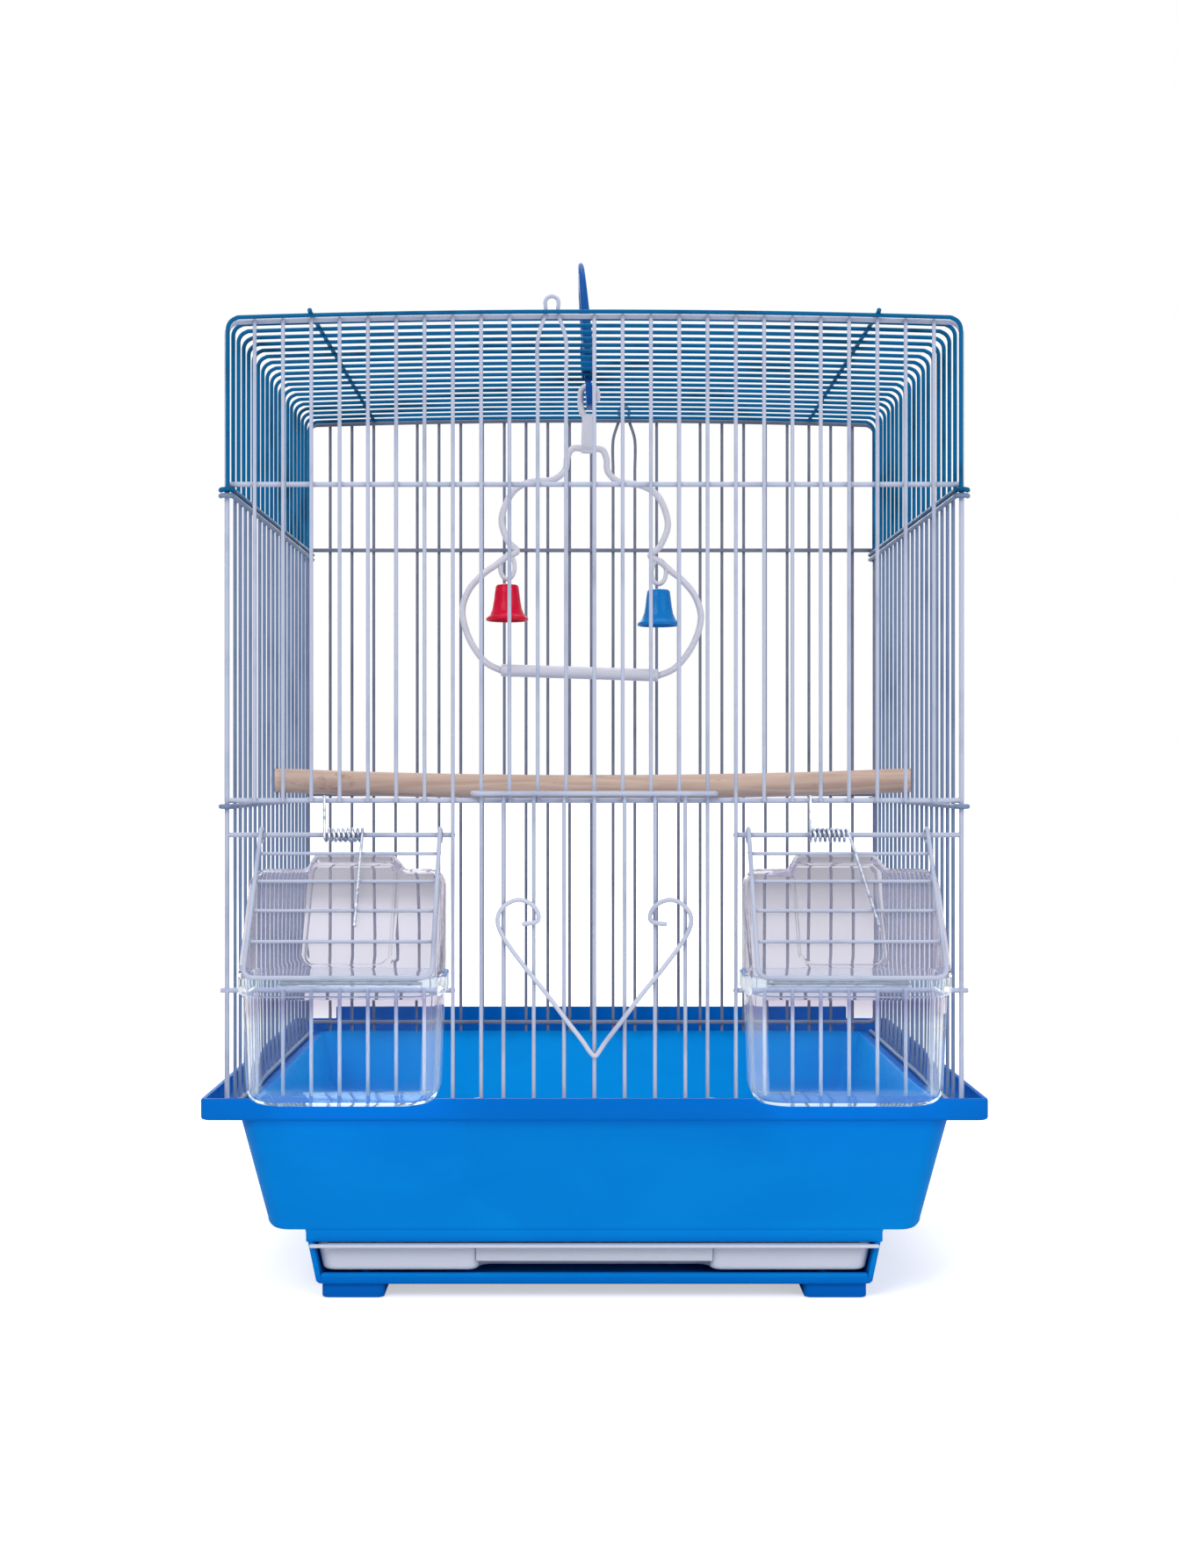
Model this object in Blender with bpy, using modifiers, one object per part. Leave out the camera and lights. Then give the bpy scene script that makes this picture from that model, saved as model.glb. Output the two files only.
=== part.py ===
"""Travel bird cage: wire panels on a plastic tray, with a lift door, two hooded feeders and a swing.

Metres, +Z up. The front faces -Y and the four feet stand at Z = 0. Each piece is built in coordinates
that are centred on the wire cage, and an empty shifts them all so that the whole box is centred in Y.
"""

import math

import bmesh
import bpy
from mathutils import Matrix, Vector

# Wire stock and the spacing that every panel shares
PITCH = 0.011
WIDTH_PITCHES = 26
DEPTH_PITCHES = 19
FRAME_RADIUS = 0.0010
WIRE_RADIUS = 0.00075
WELD_SINK = 0.0004
CROSS_INSET = 0.00015
GAP = 0.0003
THIN_SIDES = 4
FRAME_SIDES = 6
PLASTIC_SIDES = 8
MERGE = 0.00001
OVERRUN = 0.002

# Tray: feet, drawer housing, basin and rim, each measured up from the one below
FOOT_HEIGHT = 0.0057
FOOT_WIDTH = 0.0245
FOOT_DEPTH = 0.030
FOOT_INSET = 0.002
HOUSING_HEIGHT = 0.0218
HOUSING_SIDE_STEP = 0.0246
HOUSING_END_STEP = 0.0095
HOUSING_TAPER = 0.0044
HOUSING_FLOOR = 0.0025
HOUSING_LIP_HEIGHT = 0.0019
HOUSING_LIP_DEPTH = 0.0025
BAY_HEIGHT = 0.0144
SUMP_FLOOR = 0.0022
SUMP_INSET = 0.0045
DROP_SIDE_INSET = 0.0119
DROP_END_INSET = 0.0095
BASIN_HEIGHT = 0.0442
EAR_WIDTH = 0.014
TRAY_END_MARGIN = 0.0105
BASIN_TAPER = 0.0095
BASIN_CORNER = 0.009
BASIN_FOOT_ROUND = 0.0035
WALL = 0.0022
RIM_HEIGHT = 0.0083
RIM_SIDE_MARGIN = 0.0085
RIM_WALL = 0.0020
RIM_ROUND = 0.0012
LEDGE = 0.0020
BACK_LIP_RISE = 0.006
BACK_LIP_INSET = 0.0215
SKID_WIDTH = 0.003
SKID_INSET = 0.0229

# Litter drawer
DRAWER_SIDE_PLAY = 0.0007
DRAWER_TOP_PLAY = 0.0005
DRAWER_WALL = 0.0016
DRAWER_SETBACK = 0.002
DRAWER_BACK_PLAY = 0.001
DRAWER_CORNER = 0.005
DRAWER_LIP_INSET = 0.0023
DRAWER_LIP_REACH = 0.0020
DRAWER_LIP_THICKNESS = 0.0014
NOTCH_HALF_WIDTH = 0.045
NOTCH_DEPTH = 0.008
NOTCH_BAND = 0.0075

# Wire panels, heights measured up from the bottom frame wire
PANEL_HEIGHT = 0.3054
EAVES_CROSS_HEIGHT = 0.2424
DOOR_HEAD_HEIGHT = 0.1193
HINGE_HEIGHT = 0.1059
SILL_HEIGHT = 0.0454
SILL_OVERRUN = 0.0027
PANEL_CORNER = 0.0045
PANEL_FOOT_CORNER = 0.003
CORNER_STEPS = 3
WIRE_END = 0.0006
HOOK_PLAY = 0.00035
HOOK_STEPS = 6
FEEDER_INNER_PITCHES = 5
DOOR_HALF_PITCHES = 4

# Latch loops, where two neighbouring wires close over the top of an end panel
LATCH_FIRST_PITCH = 1
LATCH_HALF_WIDTH = 0.0026
LATCH_RISE = 0.0099
LATCH_NECK = 0.0027
LATCH_SPLAY = 0.0072

# Roof
ROOF_WIRES = 20
RIDGE_PITCHES = 10
ROOF_BEND = 0.0045
ROOF_BEND_STEPS = 3
RIDGE_TIP_RISE = 0.0006
RIDGE_TIP_RUN = 0.0022

# Lift door with its wire heart
DOOR_WIRES = 7
DOOR_SIDE_GAP = 0.00875
DOOR_HEAD_PLAY = 0.0007
DOOR_FOOT_PLAY = 0.0004
HEART_RADIUS = 0.0009
HEART_HALF_WIDTH = 0.0378
HEART_TIP_HEIGHT = 0.0182
HEART_RISE = 0.0604
HEART_SHARES = (
    (0.005, 0.0), (0.10, 0.08), (0.297, 0.238), (0.482, 0.392), (0.70, 0.56), (0.89, 0.72),
    (0.985, 0.85), (0.967, 0.925), (0.89, 0.975), (0.787, 1.0), (0.675, 0.982), (0.585, 0.925),
    (0.575, 0.868), (0.65, 0.845), (0.742, 0.844),
)
HEART_STEPS = 2

# Feeder flaps, hinged on rods of the front panel
FLAP_TILT = math.radians(36.0)
FLAP_LENGTH = 0.065
FLAP_BAR_SHARES = (0.145, 0.34, 0.542, 0.75)
FLAP_INNER_GAP = 0.005
FLAP_OUTER_GAP = 0.0135
FLAP_LOOP_PLAY = 0.0004
FLAP_CORNER = 0.004
FLAP_TAIL = 0.002

# Torsion springs on the hinge rods
SPRING_RADIUS = 0.0023
SPRING_WIRE_RADIUS = 0.00045
SPRING_TURNS = 8
SPRING_POINTS_PER_TURN = 8
SPRING_LENGTH = 0.0148
SPRING_LEG_OVER = 0.0020
SPRING_LEG_LENGTH = 0.043
SPRING_LEG_RISE = 0.0002
SPRING_LEG_RISE_RUN = 0.010
LEFT_SPRING_OFFSET = 0.0098
RIGHT_SPRING_OFFSET = 0.0112
LEFT_SPRING_SPLAY = 0.0
RIGHT_SPRING_SPLAY = 0.008

# Clear cups and their hoods
CUP_SHIFT = 0.00025
CUP_SIDE_MARGIN = 0.00275
CUP_HEIGHT = 0.0489
CUP_TAPER = 0.0015
CUP_WALL = 0.0015
CUP_CORNER = 0.012
CUP_STEPS = 4
CUP_FOOT_ROUND = 0.006
CUP_OVER_TRAY = 0.0022
CUP_BAND_HEIGHT = 0.0074
CUP_BAND_PROUD = 0.0015
CUP_FLANGE_MARGIN = 0.0015
CUP_FLANGE_THICKNESS = 0.0018
CUP_HOOK_INSET = 0.0095
CUP_HOOK_THICKNESS = 0.0016
CUP_HOOK_DROP = 0.005
HOOD_WALL = 0.0012
HOOD_PEAK_DROP = 0.0071
HOOD_SHOULDER_DROP = 0.0130
HOOD_PEAK_INWARD = 0.017
HOOD_PEAK_OUTWARD = 0.013
HOOD_PEAK_SLANT = 0.002
HOOD_SHOULDER_RADIUS = 0.006
HOOD_PEAK_RADIUS = 0.0035
HOOD_STEPS = 4

# Wooden perch, slotted over a wire of each side panel
PERCH_RADIUS = 0.0054
PERCH_END_OVER = 0.0016
PERCH_SLOT_PLAY = 0.0003
PERCH_PITCH_NUMBER = 10
PERCH_SIDES = 20

# Handle, in the lengthwise plane, and the hook under it that holds the swing
HANDLE_X = -0.0020
HANDLE_LEAN = math.radians(3.3)
HANDLE_GAP_NUMBER = 10
HANDLE_SEAT = 0.0005
BLOCK_LENGTH = 0.017
BLOCK_THICKNESS = 0.0057
BLOCK_HEIGHT = 0.0115
BLOCK_ROUND = 0.001
STEM_WIDTH = 0.006
STEM_THICKNESS = 0.0028
LOBE_DEPTH = 0.0130
SEAT_DEPTH = 0.0066
SEAT_RADIUS = 0.0030
TIP_THICKNESS = 0.0028
GRIP_LENGTH = 0.058
GRIP_RISE = 0.0500
GRIP_BAR = 0.0065
GRIP_THICKNESS = 0.0034
GRIP_TOP_ROUND = 0.018
GRIP_FOOT_ROUND = 0.010
GRIP_STEPS = 5
GRIP_SINK = 0.002

# Swing: hook, stem, shaped frame with two eyes, and its perch
SWING_LEAN = math.radians(1.9)
SWING_HALF_WIDTH = 0.0531
SWING_DROP = 0.1252
SWING_ROD_RADIUS = 0.0013
SWING_HOOK_RADIUS = 0.0014
SWING_HOOK_BEND = 0.0037
SWING_HOOK_RISE = 0.0024
SWING_HOOK_TIP = 0.0030
SWING_STEM_TOP = 0.0100
SWING_STEM_WIDTH = 0.0054
SWING_STEM_THICKNESS = 0.0028
SWING_STEM_FOOT = 0.0275
SWING_SHARES = (
    (0.0, 0.204), (0.118, 0.204), (0.163, 0.235), (0.180, 0.282), (0.278, 0.317), (0.476, 0.329),
    (0.616, 0.369), (0.697, 0.461), (0.640, 0.539), (0.561, 0.575), (0.650, 0.598), (0.735, 0.628),
    (0.840, 0.662), (0.951, 0.719), (1.0, 0.797), (0.934, 0.893), (0.802, 0.970),
)
SWING_STEPS = 2
SWING_PERCH_RADIUS = 0.00275
SWING_PERCH_HALF_LENGTH = 0.0350
SWING_SOCKET_DEPTH = 0.005
SWING_SOCKET_PLAY = 0.0003
EYE_X = 0.0337
EYE_DROP = 0.0793
EYE_HALF_WIDTH = 0.0032
EYE_HALF_HEIGHT = 0.0053
EYE_ROD_RADIUS = 0.0010
EYE_STEPS = 10

# Bells
BELL_LOOP_RADIUS = 0.0022
BELL_LOOP_ROD = 0.00075
BELL_LOOP_STEPS = 10
BELL_TURN_STEPS = 16
BELL_CROWN_DROP = 0.0024
BELL_CROWN_RADIUS = 0.0053
BELL_CROWN_ROUND = 0.0010
BELL_WAIST_RADIUS = 0.0066
BELL_WAIST_SHARE = 0.62
BELL_HEIGHT = 0.0162
BELL_RIM_RADIUS = 0.0095
BELL_RIM_HEIGHT = 0.0012
BELL_WALL = 0.0009

# Derived places, in the cage's own frame
HALF_WIDTH = PITCH * WIDTH_PITCHES / 2
HALF_DEPTH = PITCH * DEPTH_PITCHES / 2
RIM_HALF_WIDTH = HALF_WIDTH + RIM_SIDE_MARGIN
BACK_LIP_HALF_WIDTH = RIM_HALF_WIDTH - BACK_LIP_INSET
BASIN_HALF_WIDTH = RIM_HALF_WIDTH - EAR_WIDTH
TRAY_HALF_DEPTH = HALF_DEPTH + TRAY_END_MARGIN
HOUSING_HALF_WIDTH = BASIN_HALF_WIDTH - HOUSING_SIDE_STEP
HOUSING_HALF_DEPTH = TRAY_HALF_DEPTH - HOUSING_END_STEP
DROP_HALF_WIDTH = HOUSING_HALF_WIDTH - DROP_SIDE_INSET
DROP_HALF_DEPTH = HOUSING_HALF_DEPTH - DROP_END_INSET
SKID_X = HOUSING_HALF_WIDTH - SKID_INSET
DRAWER_LIP_HALF_WIDTH = HOUSING_HALF_WIDTH - DRAWER_LIP_INSET
DOOR_PITCH = 2 * (DOOR_HALF_PITCHES * PITCH - DOOR_SIDE_GAP) / (DOOR_WIRES - 1)
FLAP_INNER_X = FEEDER_INNER_PITCHES * PITCH + FLAP_INNER_GAP
FLAP_OUTER_X = HALF_WIDTH - FLAP_OUTER_GAP
CUP_X = (FLAP_INNER_X + FLAP_OUTER_X) / 2 + CUP_SHIFT
CUP_HALF_WIDTH = (FLAP_OUTER_X - FLAP_INNER_X) / 2 + CUP_SIDE_MARGIN
CUP_FLANGE_HALF_WIDTH = CUP_HALF_WIDTH + CUP_FLANGE_MARGIN
CUP_HOOK_HALF_WIDTH = CUP_HALF_WIDTH - CUP_HOOK_INSET
HOOD_PEAK_INNER_X = CUP_X - HOOD_PEAK_INWARD
HOOD_PEAK_OUTER_X = CUP_X + HOOD_PEAK_OUTWARD
LEFT_SPRING_X = -CUP_X - LEFT_SPRING_OFFSET
RIGHT_SPRING_X = CUP_X - RIGHT_SPRING_OFFSET
STACK = FRAME_RADIUS + WIRE_RADIUS - WELD_SINK
HOOK_RADIUS = 2 * FRAME_RADIUS + HOOK_PLAY
HOOK_DROP = 2 * FRAME_RADIUS + GAP
HOUSING_TOP_Z = FOOT_HEIGHT + HOUSING_HEIGHT
RIM_BOTTOM_Z = HOUSING_TOP_Z + BASIN_HEIGHT
RIM_TOP_Z = RIM_BOTTOM_Z + RIM_HEIGHT
LEDGE_TOP_Z = RIM_BOTTOM_Z + LEDGE
BAY_FLOOR_Z = FOOT_HEIGHT + HOUSING_FLOOR
BAY_TOP_Z = BAY_FLOOR_Z + BAY_HEIGHT
SUMP_Z = BAY_TOP_Z + SUMP_FLOOR
CAGE_Z = LEDGE_TOP_Z + GAP + FRAME_RADIUS
TOP_Z = CAGE_Z + PANEL_HEIGHT
EAVES_Z = CAGE_Z + EAVES_CROSS_HEIGHT
DOOR_HEAD_Z = CAGE_Z + DOOR_HEAD_HEIGHT
HINGE_Z = CAGE_Z + HINGE_HEIGHT
SILL_Z = CAGE_Z + SILL_HEIGHT
SIDE_MID_Z = DOOR_HEAD_Z - HOOK_DROP
ROOF_RAIL_Z = EAVES_Z - HOOK_DROP
SIDE_TOP_Z = ROOF_RAIL_Z - HOOK_DROP
RIDGE_Z = TOP_Z + FRAME_RADIUS + WIRE_RADIUS + GAP
ROOF_Z = RIDGE_Z - 2 * WIRE_RADIUS + WELD_SINK
RAIL_X = HALF_WIDTH - HOOK_RADIUS
SIDE_WIRE_X = RAIL_X + STACK
ROOF_FIRST_Y = -HALF_DEPTH - HOOK_RADIUS - STACK
FRONT_WIRE_Y = -HALF_DEPTH - STACK
FRONT_FACE_Y = FRONT_WIRE_Y - WIRE_RADIUS - GAP
DOOR_WIRE_Y = FRONT_FACE_Y - WIRE_RADIUS
DOOR_BAR_Y = DOOR_WIRE_Y - STACK
HEART_Y = DOOR_WIRE_Y - WIRE_RADIUS - HEART_RADIUS - GAP
DOOR_BAR_LOW_Z = CAGE_Z + 2 * FRAME_RADIUS + DOOR_FOOT_PLAY
DOOR_BAR_HIGH_Z = DOOR_HEAD_Z + 2 * FRAME_RADIUS + DOOR_HEAD_PLAY
FLAP_PLANE = 2 * FRAME_RADIUS + FLAP_LOOP_PLAY
FLAP_BAR_PLANE = FLAP_PLANE - STACK
HOOD_PLANE = WIRE_RADIUS + GAP - FLAP_BAR_PLANE
CUP_FOOT_Z = RIM_TOP_Z + CUP_OVER_TRAY
CUP_TOP_Z = CUP_FOOT_Z + CUP_HEIGHT
HOOD_FOOT_Z = CUP_TOP_Z + GAP
SEAT_Z = ROOF_Z - SEAT_DEPTH


def hood_slope_y(height, inward=0.0):
    """Y of the hood's sloping face at a height, set back square to itself by inward."""
    drop = HINGE_Z - height
    return -HALF_DEPTH - drop * math.tan(FLAP_TILT) + (HOOD_PLANE + inward) / math.cos(FLAP_TILT)


CUP_FRONT_Y = hood_slope_y(HOOD_FOOT_Z) - GAP
FLAP_FRONT_Y = -HALF_DEPTH - FLAP_LENGTH * math.sin(FLAP_TILT) - FLAP_PLANE * math.cos(FLAP_TILT) - FRAME_RADIUS
BODY_Y = -(FLAP_FRONT_Y + TRAY_HALF_DEPTH) / 2


def new_collection(name):
    """Make a collection and link it to the scene."""
    made = bpy.data.collections.new(name)
    bpy.context.scene.collection.children.link(made)
    return made


def new_material(name, colour, roughness, metallic=0.0, transmission=0.0):
    """Make a Principled material with one colour, roughness and metallic value."""
    made = bpy.data.materials.new(name)
    made.use_nodes = True
    made.diffuse_color = (*colour, 1.0)
    shader = made.node_tree.nodes["Principled BSDF"]
    shader.inputs["Base Color"].default_value = (*colour, 1.0)
    shader.inputs["Roughness"].default_value = roughness
    shader.inputs["Metallic"].default_value = metallic
    shader.inputs["Transmission Weight"].default_value = transmission
    return made


def new_empty(name, location, parent=None):
    """Add an empty that carries pieces."""
    empty = bpy.data.objects.new(name, None)
    empty.location = location
    empty.parent = parent
    guides.objects.link(empty)
    return empty


def new_object(name, mesh):
    """Link a working object that holds a mesh."""
    made = bpy.data.objects.new(name, mesh)
    guides.objects.link(made)
    return made


def mesh_object(name, curve):
    """Turn a curve into a mesh object whose caps are welded to its sides."""
    carrier = bpy.data.objects.new(name, curve)
    guides.objects.link(carrier)
    bpy.context.view_layer.update()
    evaluated = carrier.evaluated_get(bpy.context.evaluated_depsgraph_get())
    mesh = bpy.data.meshes.new_from_object(evaluated)
    bm = bmesh.new()
    bm.from_mesh(mesh)
    bmesh.ops.remove_doubles(bm, verts=bm.verts, dist=MERGE)
    bmesh.ops.recalc_face_normals(bm, faces=bm.faces)
    bm.to_mesh(mesh)
    bm.free()
    made = new_object(name, mesh)
    made.matrix_world = carrier.matrix_world
    bpy.data.objects.remove(carrier)
    return made


def wires(name, paths, radius, sides, closed=False):
    """Round wires along lists of points, as one mesh of separate tubes."""
    curve = bpy.data.curves.new(name, "CURVE")
    curve.dimensions = "3D"
    curve.bevel_depth = radius
    curve.bevel_resolution = (sides - THIN_SIDES) // 2
    curve.use_fill_caps = True
    for path in paths:
        spline = curve.splines.new("POLY")
        spline.points.add(len(path) - 1)
        for point, place in zip(spline.points, path):
            point.co = (*place, 1.0)
        spline.use_cyclic_u = closed
    return mesh_object(name, curve)


def plate(name, outlines, thickness):
    """A flat plate in the local XY plane, with the later outlines as its holes."""
    curve = bpy.data.curves.new(name, "CURVE")
    curve.dimensions = "2D"
    curve.fill_mode = "BOTH"
    curve.extrude = thickness / 2
    for outline in outlines:
        spline = curve.splines.new("POLY")
        spline.points.add(len(outline) - 1)
        for point, place in zip(spline.points, outline):
            point.co = (place[0], place[1], 0.0, 1.0)
        spline.use_cyclic_u = True
    return mesh_object(name, curve)


def upright_plate(name, outlines, thickness, x):
    """A plate whose outlines are given in (Y, Z), centred on x."""
    made = plate(name, outlines, thickness)
    turn = Matrix(((0, 0, 1, 0), (1, 0, 0, 0), (0, 1, 0, 0), (0, 0, 0, 1)))
    made.data.transform(Matrix.Translation((x, 0, 0)) @ turn)
    return made


def block(name, low, high, corner=0.0, steps=1, foot_round=0.0, taper=(0.0, 0.0), front_only=False):
    """A box from low to high with rounded upright edges, drawn in by taper at its foot."""
    size = [b - a for a, b in zip(low, high)]
    middle = [(a + b) / 2 for a, b in zip(low, high)]
    bm = bmesh.new()
    bmesh.ops.create_cube(bm, size=1.0)
    bmesh.ops.scale(bm, vec=size, verts=bm.verts)
    for vert in bm.verts:
        if vert.co.z < 0:
            vert.co.x -= math.copysign(taper[0], vert.co.x)
            if not front_only or vert.co.y < 0:
                vert.co.y -= math.copysign(taper[1], vert.co.y)
    bmesh.ops.translate(bm, vec=middle, verts=bm.verts)
    if corner:
        upright = [e for e in bm.edges if abs(e.verts[0].co.z - e.verts[1].co.z) > size[2] / 2]
        if front_only:
            upright = [e for e in upright if e.verts[0].co.y < middle[1]]
        bmesh.ops.bevel(bm, geom=upright, offset=corner, segments=steps, affect="EDGES", profile=0.5)
    if foot_round:
        foot = [e for e in bm.edges if all(v.co.z < low[2] + MERGE for v in e.verts)]
        if front_only:
            foot = [e for e in foot if any(v.co.y < high[1] - MERGE for v in e.verts)]
        bmesh.ops.bevel(bm, geom=foot, offset=foot_round, segments=steps, affect="EDGES", profile=0.5)
    mesh = bpy.data.meshes.new(name)
    bm.to_mesh(mesh)
    bm.free()
    return new_object(name, mesh)


def rod(name, start, end, radius, sides):
    """A straight round bar between two points."""
    run = Vector(end) - Vector(start)
    bm = bmesh.new()
    bmesh.ops.create_cone(
        bm, cap_ends=True, segments=sides, radius1=radius, radius2=radius, depth=run.length
    )
    turn = run.to_track_quat("Z", "Y").to_matrix().to_4x4()
    bmesh.ops.transform(bm, matrix=Matrix.Translation((Vector(start) + Vector(end)) / 2) @ turn, verts=bm.verts)
    mesh = bpy.data.meshes.new(name)
    bm.to_mesh(mesh)
    bm.free()
    return new_object(name, mesh)


def combine(target, tool, operation="UNION"):
    """Join a tool to the target, or cut it away, and keep the tool as a hidden guide."""
    modifier = target.modifiers.new(tool.name, "BOOLEAN")
    modifier.operation = operation
    modifier.solver = "EXACT"
    modifier.object = tool
    tool.hide_render = True
    tool.display_type = "WIRE"


def follow(obj, parent):
    """Put a piece, and everything that shapes it, under one parent."""
    obj.parent = parent
    for modifier in obj.modifiers:
        if modifier.type == "BOOLEAN":
            follow(modifier.object, parent)


def piece(obj, name, material, parent, smooth=True):
    """Name a finished piece, dress it and move it from the guides to the cage's collection."""
    obj.name = name
    obj.data.name = name
    obj.data.materials.clear()
    obj.data.materials.append(material)
    if smooth:
        obj.data.shade_smooth()
        obj.data.set_sharp_from_angle(angle=math.radians(40.0))
    follow(obj, parent)
    guides.objects.unlink(obj)
    pieces.objects.link(obj)
    return obj


def rounded(corners, radius, steps, closed=False):
    """Points along straight runs whose corners are arcs of one radius."""
    corners = [Vector(corner) for corner in corners]
    points = []
    for index, corner in enumerate(corners):
        if not closed and index in (0, len(corners) - 1):
            points.append(corner)
            continue
        into = (corner - corners[index - 1]).normalized()
        out = (corners[(index + 1) % len(corners)] - corner).normalized()
        turn = into.angle(out)
        centre = corner + (out - into).normalized() * radius / math.cos(turn / 2)
        arm = corner - into * radius * math.tan(turn / 2) - centre
        axis = into.cross(out).normalized()
        for step in range(steps + 1):
            points.append(centre + Matrix.Rotation(turn * step / steps, 3, axis) @ arm)
    return points


def flat_rounded(corners, radii, steps):
    """A closed flat outline whose corners have the radii given."""
    points = []
    count = len(corners)
    for index, (corner, radius) in enumerate(zip(corners, radii)):
        here = Vector((*corner, 0.0))
        before = Vector((*corners[index - 1], 0.0))
        after = Vector((*corners[(index + 1) % count], 0.0))
        arc = rounded((before, here, after), radius, steps)[1:-1]
        points.extend((p.x, p.y) for p in arc)
    return points


def smooth_path(points, steps):
    """A smooth curve through points, with steps pieces between each pair."""
    points = [Vector(point) for point in points]
    result = []
    for index in range(len(points) - 1):
        before = points[max(index - 1, 0)]
        start = points[index]
        end = points[index + 1]
        after = points[min(index + 2, len(points) - 1)]
        for step in range(steps):
            t = step / steps
            result.append(
                0.5 * (2 * start + (end - before) * t + (2 * before - 5 * start + 4 * end - after) * t ** 2
                       + (3 * start - before - 3 * end + after) * t ** 3)
            )
    result.append(points[-1])
    return result


def hook_arc(centre, radius, start_angle, sweep, z):
    """Points on a level arc about a centre, from an angle and through a sweep."""
    points = []
    for step in range(HOOK_STEPS + 1):
        angle = start_angle + sweep * step / HOOK_STEPS
        points.append((centre[0] + radius * math.cos(angle), centre[1] + radius * math.sin(angle), z))
    return points


def hooked_rail(side, z):
    """A side rail that hooks round the upright of the front panel and of the back panel."""
    inner_angle = math.pi if side > 0 else 0.0
    front = hook_arc((side * HALF_WIDTH, -HALF_DEPTH), HOOK_RADIUS, inner_angle, side * math.pi, z)
    back = hook_arc((side * HALF_WIDTH, HALF_DEPTH), HOOK_RADIUS, inner_angle, -side * math.pi, z)
    return front[::-1] + back


def end_frame(name, y):
    """The closed frame wire of the front or back panel."""
    top = [(HALF_WIDTH, y, TOP_Z), (-HALF_WIDTH, y, TOP_Z)]
    foot = [(-HALF_WIDTH, y, CAGE_Z), (HALF_WIDTH, y, CAGE_Z)]
    before = Vector(top[0])
    path = rounded((foot[1], top[0], top[1], foot[0]), PANEL_CORNER, CORNER_STEPS)[1:-1]
    low = rounded((top[1], foot[0], foot[1], before), PANEL_FOOT_CORNER, CORNER_STEPS)[1:-1]
    return wires(name, [path + low], FRAME_RADIUS, FRAME_SIDES, closed=True)


def latch_wire(y, side, low_z):
    """Two neighbouring wires that lean together and close in a loop above the frame."""
    first = side * LATCH_FIRST_PITCH * PITCH
    second = side * (LATCH_FIRST_PITCH + 1) * PITCH
    left, right = min(first, second), max(first, second)
    middle = (left + right) / 2
    crown_z = TOP_Z + LATCH_RISE - LATCH_HALF_WIDTH
    loop = []
    for step in range(HOOK_STEPS + 1):
        angle = math.pi - math.pi * step / HOOK_STEPS
        height = crown_z + LATCH_HALF_WIDTH * math.sin(angle)
        loop.append((middle + LATCH_HALF_WIDTH * math.cos(angle), y, height))
    rising = [(left, y, low_z), (left, y, TOP_Z - LATCH_SPLAY), (middle - LATCH_HALF_WIDTH, y, TOP_Z + LATCH_NECK)]
    falling = [(middle + LATCH_HALF_WIDTH, y, TOP_Z + LATCH_NECK), (right, y, TOP_Z - LATCH_SPLAY), (right, y, low_z)]
    return rising + loop + falling


def cross_wire(y, z, x_from=-HALF_WIDTH, x_to=HALF_WIDTH):
    """A level wire across an end panel, pressed a little into it by its welds."""
    y -= math.copysign(CROSS_INSET, y)
    return [(x_from, y, z), (x_to, y, z)]


def upright_wire(x, y, low_z, high_z):
    """An upright wire that ends a little past the two wires it is welded to."""
    return [(x, y, low_z - WIRE_END), (x, y, high_z + WIRE_END)]


def make_front_panel(parent):
    """Front panel with a door opening, two feeder openings and their hinge rods."""
    frame = end_frame("front_frame", -HALF_DEPTH)
    inner_x = FEEDER_INNER_PITCHES * PITCH + WIRE_END
    crosses = [cross_wire(-HALF_DEPTH, EAVES_Z), cross_wire(-HALF_DEPTH, DOOR_HEAD_Z)]
    for side in (-1, 1):
        outer_x = side * (HALF_WIDTH + SILL_OVERRUN)
        crosses.append(cross_wire(-HALF_DEPTH, SILL_Z, side * inner_x, outer_x))
        crosses.append(cross_wire(-HALF_DEPTH, HINGE_Z, side * inner_x, side * HALF_WIDTH))
    uprights = [latch_wire(FRONT_WIRE_Y, -1, DOOR_HEAD_Z - WIRE_END)]
    for number in range(1 - WIDTH_PITCHES // 2, WIDTH_PITCHES // 2):
        x = number * PITCH
        if number in (-LATCH_FIRST_PITCH, -LATCH_FIRST_PITCH - 1):
            continue
        if DOOR_HALF_PITCHES <= abs(number) <= FEEDER_INNER_PITCHES:
            uprights.append(upright_wire(x, FRONT_WIRE_Y, CAGE_Z, TOP_Z))
            continue
        uprights.append(upright_wire(x, FRONT_WIRE_Y, DOOR_HEAD_Z, TOP_Z))
        if abs(number) > FEEDER_INNER_PITCHES:
            uprights.append(upright_wire(x, FRONT_WIRE_Y, CAGE_Z, SILL_Z))
    combine(frame, wires("front_crosses", crosses, FRAME_RADIUS, FRAME_SIDES))
    combine(frame, wires("front_uprights", uprights, WIRE_RADIUS, THIN_SIDES))
    piece(frame, "front_panel", coated_wire, parent)


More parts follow.
